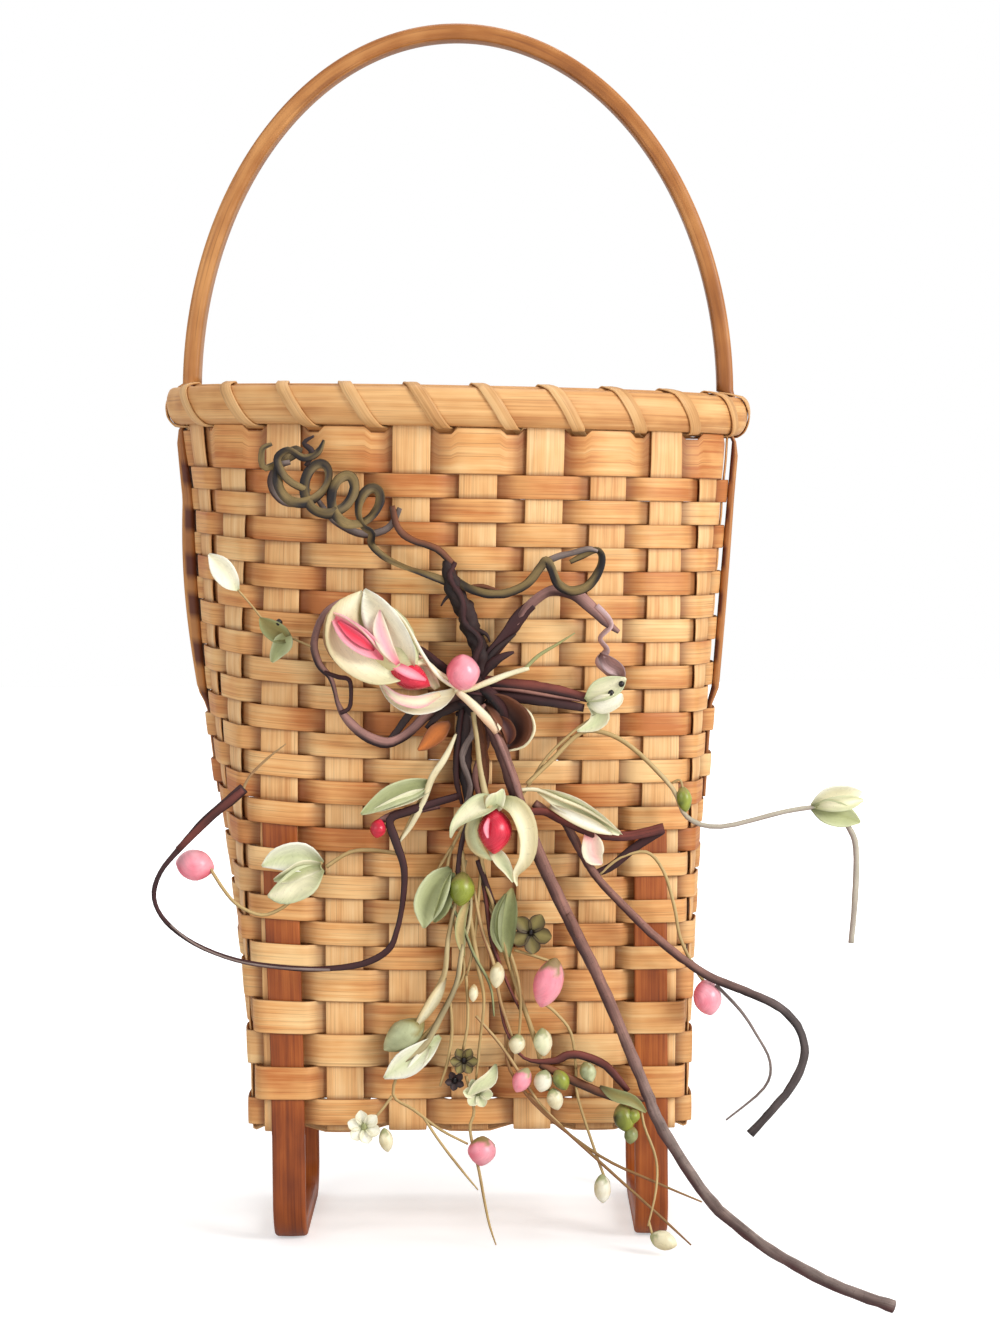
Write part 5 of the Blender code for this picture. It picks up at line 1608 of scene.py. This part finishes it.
# The stems of the bunch of berries.
BUNCH_TRUNK = (
    (-1, -49.5, 8.4), (4, -75, 9), (10, -100, 9), (18, -125, 9), (26, -150, 9), (30, -168, 9),
)
BUNCH_STEMS = (
    (stem_through, STRAW, (0.9, 0.1), *placed(2.2, BUNCH_TRUNK)),
    (stem, STRAW, (), (470, 816, 9, 1.6), (451, 850, 9.5, 1.4), (447, 880, 10, 1.4),
     (451, 907, 10, 1.4), (459, 942, 10, 1.5), (464, 973, 10, 1.5), (451, 995, 10, 1.6),
     (436, 1023, 9, 1.8), (412, 1048, 9, 2.6), (392, 1062, 9, 2)),
    (stem, STRAW, (), (474, 816, 9, 1.6), (482, 850, 10, 1.4), (480, 880, 10.5, 1.4),
     (474, 942, 11, 1.4), (467, 975, 10.6, 1)),
    (stem, STRAW, (), (476, 816, 9, 1.4), (484, 876, 11, 1.4), (492, 902, 12, 1.4), (502, 937, 12, 1.4),
     (510, 970, 11, 1)),
    (stem, (MAROON_FACE, MAROON), (), (480, 860, 9.6, 1.8), (487, 907, 10.6, 2), (492, 942, 10.6, 2),
     (507, 982, 10, 1.4), (520, 1010, 10, 1)),
    (stem, PLUM_DARK, (), (470, 814, 9, 2), (462, 842, 10, 2.2), (458, 872, 10.6, 2.2),
     (462, 884, 11, 2)),
    (stem, STRAW, (), (500, 930, 10, 1.4), (512, 958, 10.6, 1.4), (520, 990, 11, 1.3),
     (520, 1024, 11, 1.2), (518, 1042, 11, 1)),
    (stem, STRAW, (), (514, 950, 11, 1.3), (534, 956, 11.6, 1.3), (553, 962, 12, 1.4)),
    (stem, STRAW, (), (544, 1004, 12, 1.3), (555, 1012, 12, 1.3), (571, 1033, 12, 1.3),
     (576, 1069, 11, 1.1)),
    (stem, (MAROON_FACE, MAROON), (0.4,), (500, 1000, 10, 1.4), (506, 1030, 10.6, 1.4),
     (524, 1058, 11, 1.4), (553, 1061, 12, 3), (568, 1055, 12.6, 3.6), (583, 1056, 12.6, 3.6),
     (606, 1066, 12, 3.6), (628, 1091, 11, 2.6)),
    (stem, (BROWN, OLIVE_DARK), (0.4,), (540, 1064, 11, 3), (558, 1073, 12, 3.8), (581, 1084, 12, 3.8),
     (614, 1097, 12, 3.6), (646, 1099, 11, 2.4)),
    (stem, STRAW, (), (466, 975, 10, 1.4), (468, 1020, 10, 1.3), (463, 1050, 10, 1.2)),
    (stem, (OLIVE, BROWN), (), (506, 1034, 10.4, 1.4), (510, 1070, 10.6, 1.4), (544, 1113, 10.6, 1.4),
     (600, 1156, 12, 1.3), (650, 1180, 13, 1.2), (702, 1202, 14, 0.7)),
    (stem, (OLIVE, BROWN), (), (528, 1094, 10.6, 1.4), (556, 1122, 11, 1.4), (610, 1171, 13, 1.3),
     (663, 1219, 15, 1.2), (691, 1245, 15, 0.7)),
    (stem, STRAW, (), (576, 1069, 11, 1.2), (578, 1098, 11, 1.2), (595, 1151, 11.6, 1.2),
     (604, 1176, 12, 1.2)),
    (stem, STRAW, (), (640, 1100, 11, 1.2), (644, 1125, 11, 1.2), (656, 1159, 13, 1.1),
     (656, 1190, 17, 1), (648, 1226, 23, 0.8)),
    (stem, STRAW, (), (466, 1076, 10, 1.3), (474, 1110, 10, 1.3), (470, 1130, 10, 1.3),
     (479, 1171, 10.6, 1.3), (488, 1219, 11, 1.1), (496, 1245, 11, 0.6)),
    (stem, STRAW, (), (404, 1058, 9, 1.3), (393, 1094, 9.4, 1.3), (414, 1110, 9.6, 1.3),
     (441, 1130, 9.6, 1.2), (468, 1144, 10, 1)),
    (stem, STRAW, (), (424, 1118, 9.6, 1.2), (440, 1142, 10, 1.2), (460, 1168, 10, 1.1),
     (478, 1190, 10, 0.6)),
    (stem, STRAW, (), (462, 850, 10, 1.6), (466, 890, 11, 2), (472, 930, 11.6, 2.2),
     (478, 965, 11.6, 2), (484, 1000, 11, 1.4), (480, 1040, 10.6, 1.2), (476, 1080, 10, 1)),
    (stem, (CREAM_SHADE, OLIVE), (), (466, 860, 10, 1.4), (456, 900, 11.6, 1.8), (448, 940, 11.6, 2),
     (444, 975, 11, 2.4), (428, 1004, 10.6, 2.6), (414, 1026, 10, 1.4)),
    (stem, (CREAM_SHADE, OLIVE_DARK), (), (470, 880, 11, 1.4), (470, 915, 12, 1.8), (462, 950, 12, 2),
     (456, 985, 11.6, 2.2), (440, 1018, 11, 2.6), (424, 1046, 10.4, 3), (404, 1062, 10, 1.2)),
    (stem, (OLIVE_PALE, BROWN), (), (474, 890, 11, 1.2), (482, 930, 12.4, 1.6), (494, 965, 12.4, 1.6),
     (500, 1000, 11.6, 1.4), (512, 1036, 11, 1)),
    (stem, (LEAF, OLIVE_DARK), (), (448, 900, 11, 1.2), (462, 925, 12.6, 1.4), (474, 955, 12.6, 1.4),
     (490, 985, 12, 1.2), (494, 1016, 11, 0.8)),
    (stem, (OLIVE_PALE, OLIVE_DARK), (), (484, 900, 10, 1.4), (500, 925, 11, 1.4), (522, 945, 11, 1.2)),
    (stem, PLUM_DARK, (), (478, 860, 10, 2.4), (486, 884, 11, 2.6), (497, 915, 11, 2),
     (503, 950, 10.6, 1)),
    (stem, STRAW, (), (452, 846, 10, 1.2), (440, 866, 11, 1.2), (430, 884, 11, 1)),
    (stem, (OLIVE_PALE, BROWN), (), (476, 1016, 10.6, 1.2), (500, 1044, 11, 1.4), (520, 1074, 11, 1.4),
     (540, 1104, 10.6, 1.2), (562, 1126, 11, 0.8)),
    (stem, STRAW, (), (450, 1000, 10, 1.2), (452, 1030, 10, 1.4), (448, 1060, 10, 1.4),
     (440, 1086, 9.6, 1)),
)

# The leaves, buds, berries and star flowers of the bunch.
BUNCH_BUDS = (
    (petal, (LEAF, GREENISH, LEAF_DARK), (0.5,), (450, 868, 10, 2), (438, 882, 12, 11),
     (428, 904, 12, 12), (424, 928, 10, 1)),
    (petal, (LEAF_DARK, LEAF, LEAF_DARK), (0.6, -0.4), (452, 872, 11, 2), (446, 888, 13, 6),
     (440, 908, 13, 6), (434, 922, 11, 1)),
    (bud, (GREEN, GREEN_DARK, KHAKI), (0.6, 0.9), (463, 872, 11.6, 11), (460, 906, 13, 0)),
    (bud, (CREAM, CREAM_SHADE, OLIVE_PALE), (), (498, 962, 12, 6.4), (496, 988, 13, 0)),
    (bud, (CREAM, CREAM_SHADE, OLIVE_PALE), (), (474, 984, 11, 4), (473, 1002, 12, 0)),
    (petal, (LEAF, LEAF_DARK, KHAKI), (0.5,), (512, 888, 10, 1), (508, 906, 12, 8), (505, 930, 12.6, 9),
     (509, 957, 10.6, 1)),
    (petal, (GREENISH, LEAF, LEAF_DARK), (0.5, 0.4), (506, 894, 12, 1), (500, 912, 14, 5),
     (498, 934, 14, 5), (502, 952, 12, 1)),
    (petal, (OLIVE_PALE, LEAF, OLIVE), (0.5,), (470, 896, 11, 1), (462, 916, 13, 4), (460, 936, 13, 4),
     (464, 956, 11, 1)),
    (petal, (CREAM, OLIVE_PALE, OLIVE), (0.6, 0.3), (446, 978, 11, 1), (438, 996, 13, 5),
     (426, 1014, 13, 4), (416, 1026, 11, 1)),
    (petal, (GREENISH, CREAM, LEAF_DARK), (0.5,), (496, 1064, 11, 1), (490, 1078, 12.6, 6),
     (478, 1086, 12.6, 5), (468, 1096, 11, 1)),
    (petal, (KHAKI, LEAF, OLIVE_DARK), (0.5,), (600, 1086, 12, 1), (614, 1094, 13, 5),
     (632, 1100, 13, 5), (646, 1112, 11, 1)),
    (flower, (KHAKI, OLIVE_DARK, BLACK), (5, 0.2), (531, 933, 11, 21)),
    (bud, (PINK, ROSE, KHAKI), (0.6, 0.8), (556, 958, 12, 12.4), (541, 1007, 14, 0)),
    (bud, (CREAM, CREAM_SHADE, LEAF), (), (519, 1034, 10.6, 7), (515, 1054, 11.6, 0)),
    (bud, (CREAM, GREENISH, LEAF), (), (542, 1028, 11, 8), (544, 1056, 11.6, 0)),
    (bud, (PINK, ROSE, LEAF), (), (528, 1068, 11, 8), (516, 1092, 12, 0)),
    (bud, (WHITE, CREAM_SHADE, LEAF), (), (546, 1070, 12.6, 8), (540, 1092, 13.4, 0)),
    (bud, (CREAM, CREAM_SHADE, LEAF), (), (552, 1088, 12, 7), (558, 1110, 12.6, 0)),
    (bud, (GREEN, LEAF_DARK, KHAKI), (), (556, 1070, 13, 7), (566, 1090, 13.6, 0)),
    (bud, (GREENISH, LEAF_DARK, KHAKI), (), (584, 1062, 13, 7), (592, 1082, 13.6, 0)),
    (bud, (GREEN, BLACK, KHAKI), (), (620, 1104, 11, 9), (628, 1132, 12, 0)),
    (bud, (GREEN, GREEN_DARK, KHAKI), (), (634, 1108, 12, 6), (632, 1124, 12.6, 0)),
    (bud, (LEAF, GREEN_DARK, KHAKI), (), (632, 1126, 12, 6), (630, 1144, 12.6, 0)),
    (flower, (KHAKI, OLIVE_DARK, BLACK), (6, 0.0), (464, 1061, 10, 14)),
    (flower, (BARK, BLACK, BLACK), (5, 0.5), (455, 1081, 9.6, 10)),
    (flower, (GREENISH, CREAM, LEAF_DARK), (6, 0.1), (478, 1093, 10, 15)),
    (bud, (PINK, ROSE, KHAKI), (0.6, 0.8), (483, 1136, 10, 12), (481, 1166, 12, 0)),
    (flower, (WHITE, CREAM, LEAF), (6, 0.3), (364, 1127, 9.4, 17)),
    (stem, STRAW, (), (392, 1096, 9.4, 1.2), (380, 1112, 9.4, 1.2), (366, 1126, 9.4, 1)),
    (bud, (CREAM, CREAM_SHADE, LEAF), (), (384, 1128, 9.6, 6), (388, 1152, 10, 0)),
    (bud, (WHITE, CREAM_SHADE, LEAF), (), (602, 1174, 12, 7.4), (603, 1203, 13, 0)),
    (bud, (CREAM, CREAM_SHADE, LEAF), (), (650, 1236, 25, 8.2), (677, 1245, 28, 0)),
    (stem, STRAW, (), (649, 1222, 22, 1), (653, 1238, 26, 1)),
    (bud, (GREENISH, LEAF_DARK, KHAKI), (0.7, 0.5), (424, 1020, 9, 12.5), (384, 1050, 9.6, 0)),
    (petal, (GREENISH, WHITE, LEAF), (0.5,), (440, 1036, 9, 2), (424, 1050, 10, 9),
     (404, 1064, 10.6, 11), (384, 1078, 9.6, 1)),
    (petal, (CREAM, WHITE, LEAF), (0.5, 0.5), (430, 1046, 10, 2), (418, 1066, 11, 6),
     (404, 1078, 11, 1)),
)

# The flower on its long stem to the right.
RIGHT_STEM = (
    (22.3, -37, 13.2), (33, -27, 10), (45, -16, 9), (57, -17, 8), (69, -25, 8), (83, -40, 8),
    (89, -52, 9), (103, -56, 10), (129, -50, 10), (143, -48, 10), (152, -48, 10),
)
FLOWER_RIGHT = (
    (stem_through, STRAW, (0.9, 0.06, 8, 4, 0.0, 0.5, 0.3, (PALE_GREY, GREY_VINE)),
     *placed(2.0, RIGHT_STEM)),
    (petal, (CREAM, WHITE, LEAF), (0.5,), (812, 806, 10, 2), (828, 798, 12, 9), (846, 795, 12, 9),
     (862, 792, 11, 1)),
    (petal, (LEAF, GREENISH, LEAF_DARK), (0.5,), (812, 808, 10, 2), (828, 811, 13, 10),
     (844, 816, 13, 9), (860, 822, 11, 1)),
    (petal, (CREAM, GREENISH, LEAF), (0.6,), (816, 806, 11, 2), (832, 804, 15, 6), (848, 802, 15, 6),
     (863, 800, 13, 1)),
    (stem, (PALE_GREY, GREY_VINE), (0.7,), (838, 812, 11, 2), (849, 828, 10, 2.4), (856, 848, 10, 2.6),
     (855, 899, 10, 2.6), (851, 943, 10, 2.4)),
    (stem, STRAW, (0.9,), (600, 874, 9, 1.4), (620, 858, 9, 1.4), (646, 852, 9, 1.4),
     (663, 870, 9, 1.4), (674, 905, 9, 1.4), (680, 937, 9, 1.4), (694, 967, 9.4, 1.4),
     (706, 984, 10, 1.4)),
    (bud, (PINK, ROSE, None), (0.55, 0.9), (704, 980, 10, 12), (711, 1015, 12, 0)),
    (bud, (GREEN, GREEN_DARK, KHAKI), (), (682, 786, 8, 6.4), (686, 812, 9, 0)),
    (stem, STRAW, (), (672, 783, 8, 1), (680, 780, 8.6, 1), (683, 790, 8.6, 1)),
)

# The flower and buds to the left.
LEFT_STEM = ((-31.3, -66, 12.2), (-42, -65, 7), (-52, -66, 5), (-62, -72, 6))
BUD_LEFT = (
    (stem_through, STRAW, (0.9,), *placed(1.8, LEFT_STEM)),
    (stem, STRAW, (0.9,), (322, 862, 6, 1.8), (300, 880, 8, 2), (293, 897, 8, 1.6), (282, 908, 8, 1.5),
     (262, 915, 9, 1.5), (239, 906, 9.6, 1.5), (224, 890, 10, 1.5), (210, 868, 7, 1.6)),
    (petal, (GREENISH, WHITE, LEAF), (0.5,), (322, 864, 6, 3), (302, 856, 8, 12), (280, 858, 9, 10),
     (262, 866, 8, 1)),
    (petal, (CREAM, GREENISH, LEAF), (0.5,), (322, 868, 7, 3), (304, 880, 10, 13), (284, 892, 11, 10),
     (268, 896, 9, 1)),
    (petal, (LEAF, CREAM, LEAF_DARK), (0.6,), (320, 866, 8, 3), (304, 868, 12, 7), (288, 876, 13, 6),
     (274, 880, 11, 1)),
    (bud, (PINK, ROSE, None), (0.55, 0.8), (214, 868, 5, 13.4), (176, 862, 5, 0)),
    (stem, STRAW, (), (314, 648, 7.6, 1), (296, 640, 7, 0.9), (276, 632, 6, 1)),
    (petal, (KHAKI, LEAF, OLIVE_DARK), (0.5,), (290, 640, 6.6, 1.6), (280, 634, 8, 8), (268, 626, 8, 7),
     (260, 618, 7, 1)),
    (petal, (LEAF, GREENISH, KHAKI), (0.5,), (288, 632, 6.6, 1.6), (284, 642, 8, 8), (276, 654, 8, 5),
     (272, 662, 7, 1)),
    (bud, (BLACK, BLACK), (), (279, 626, 8, 3), (279, 619, 9.4, 0)),
    (stem, STRAW, (), (266, 624, 7, 0.9), (252, 606, 6, 0.8), (238, 590, 5, 0.9)),
    (petal, (CREAM, WHITE, GREENISH), (0.4,), (238, 590, 5, 1.4), (230, 580, 6.4, 8),
     (220, 566, 6.6, 9), (209, 554, 5, 1)),
)

# The spray's objects, in order: name, slot, the node that each stands for, look and table.
CLUSTERS = (
    ("knot_wraps", "vine", "sprig_tie", BARK_LOOK, KNOT),
    ("stem_above", "vine", "sprig_stem_upper", BARK_LOOK, STEM_ABOVE),
    ("stem_below", "vine", "sprig_stem_lower", BARK_LOOK, STEM_BELOW),
    ("tendril_curls_left", "tendril", "tendril_left", RIBBON_LOOK, TENDRIL_LEFT),
    ("tendril_curls_right", "tendril", "tendril_right", RIBBON_LOOK, TENDRIL_RIGHT),
    ("bow_strap_right", "vine", "bow_right", RIBBON_LOOK, STRAP_RIGHT),
    ("bow_strap_left", "vine", "bow_left", RIBBON_LOOK, STRAP_LEFT),
    ("curl_strap_left", "vine", "curl_left", RIBBON_LOOK, CURL_LEFT),
    ("twig_long", "vine", "long_twig", BARK_LOOK, TWIG_LONG),
    ("twig_side", "vine", "side_twig", BARK_LOOK, TWIG_SIDE),
    ("flowers_above", "bud", "upper_flower", PETAL_LOOK, FLOWERS_ABOVE),
    ("leaves_middle", "bud", None, PETAL_LOOK, LEAVES_MIDDLE),
    ("pod_open", "bud", "open_pod", PETAL_LOOK, POD_OPEN),
    ("leaf_by_twig", "bud", None, PETAL_LOOK, LEAF_BY_TWIG),
    ("bunch_stems", "bud", "berry_stems", PETAL_LOOK, BUNCH_STEMS),
    ("bunch_buds", "bud", None, PETAL_LOOK, BUNCH_BUDS),
    ("flower_stem_right", "bud", "right_flower_stem", PETAL_LOOK, FLOWER_RIGHT),
    ("bud_stem_left", "bud", "left_bud_stem", PETAL_LOOK, BUD_LEFT),
)
for name, slot, node, look, rows in CLUSTERS:
    add_cluster(name, slot, node, look, grown(rows))


# The room: camera, lamps, floor and background.


def add_camera():
    data = bpy.data.cameras.new("camera")
    data.lens = LENS
    data.clip_end = 50
    camera = bpy.data.objects.new("camera", data)
    bpy.context.scene.collection.objects.link(camera)
    camera.location = EYE + BASKET
    camera.rotation_euler = GAZE
    bpy.context.scene.camera = camera


def add_lamp(name, place, target, size, power):
    data = bpy.data.lights.new(name, "AREA")
    data.shape = "DISK"
    data.size = size
    data.energy = power
    lamp = bpy.data.objects.new(name, data)
    bpy.context.scene.collection.objects.link(lamp)
    lamp.location = Vector(place) + BASKET
    lamp.rotation_mode = "QUATERNION"
    lamp.rotation_quaternion = (Vector(target) - Vector(place)).to_track_quat("-Z", "Y")


def add_floor():
    """A pale floor that keeps the basket's shadow and goes over into the white background."""
    material = bpy.data.materials.new("floor_white")
    made = Nodes(material)
    shader = made.tree.nodes["Principled BSDF"]
    made.put(shader.inputs["Base Color"], (0.86, 0.86, 0.86, 1))
    made.put(shader.inputs["Roughness"], 0.9)
    away = made.add("VectorMath", operation="LENGTH")
    made.put(away.inputs[0], made.add("TexCoord").outputs["Object"])
    far = made.span(away.outputs["Value"], 0.25, 1.1, 0.45, 1.0, "SMOOTHSTEP")
    from_camera = made.add("LightPath").outputs["Is Camera Ray"]
    glow = made.add("Emission", Strength=made.math("MULTIPLY", from_camera, far))
    both = made.add("AddShader")
    made.put(both.inputs[0], shader.outputs[0])
    made.put(both.inputs[1], glow.outputs[0])
    made.put(made.tree.nodes["Material Output"].inputs["Surface"], both.outputs[0])
    mesh = bpy.data.meshes.new("floor")
    half = FLOOR_HALF
    corners = [(-half, -half, 0), (half, -half, 0), (half, half, 0), (-half, half, 0)]
    mesh.from_pydata(corners, [], [(0, 1, 2, 3)])
    mesh.materials.append(material)
    floor = bpy.data.objects.new("floor", mesh)
    floor.location.z = FLOOR_Z
    bpy.context.scene.collection.objects.link(floor)


def add_world():
    """A world that lights the basket softly, and is white to the camera and in reflections."""
    world = bpy.data.worlds.new("room")
    bpy.context.scene.world = world
    made = Nodes(world)
    back = made.tree.nodes["Background"]
    path = made.add("LightPath")
    clear = made.math("MAXIMUM", path.outputs["Is Camera Ray"], path.outputs["Is Glossy Ray"])
    made.put(back.inputs["Color"], (1, 1, 1, 1))
    made.put(back.inputs["Strength"], made.span(clear, 0.0, 1.0, 0.42, 1.0))


add_camera()
add_lamp("key", (1.5, -1.25, 0.85), (0, 0, 0.2), 0.9, 31)
add_lamp("fill", (-1.1, -1.5, 0.7), (0, 0, 0.22), 1.1, 8)
add_lamp("top", (0.1, 0.2, 1.7), (0, 0, 0.2), 1.0, 10)
add_floor()
add_world()
bpy.context.scene.view_settings.view_transform = "Standard"
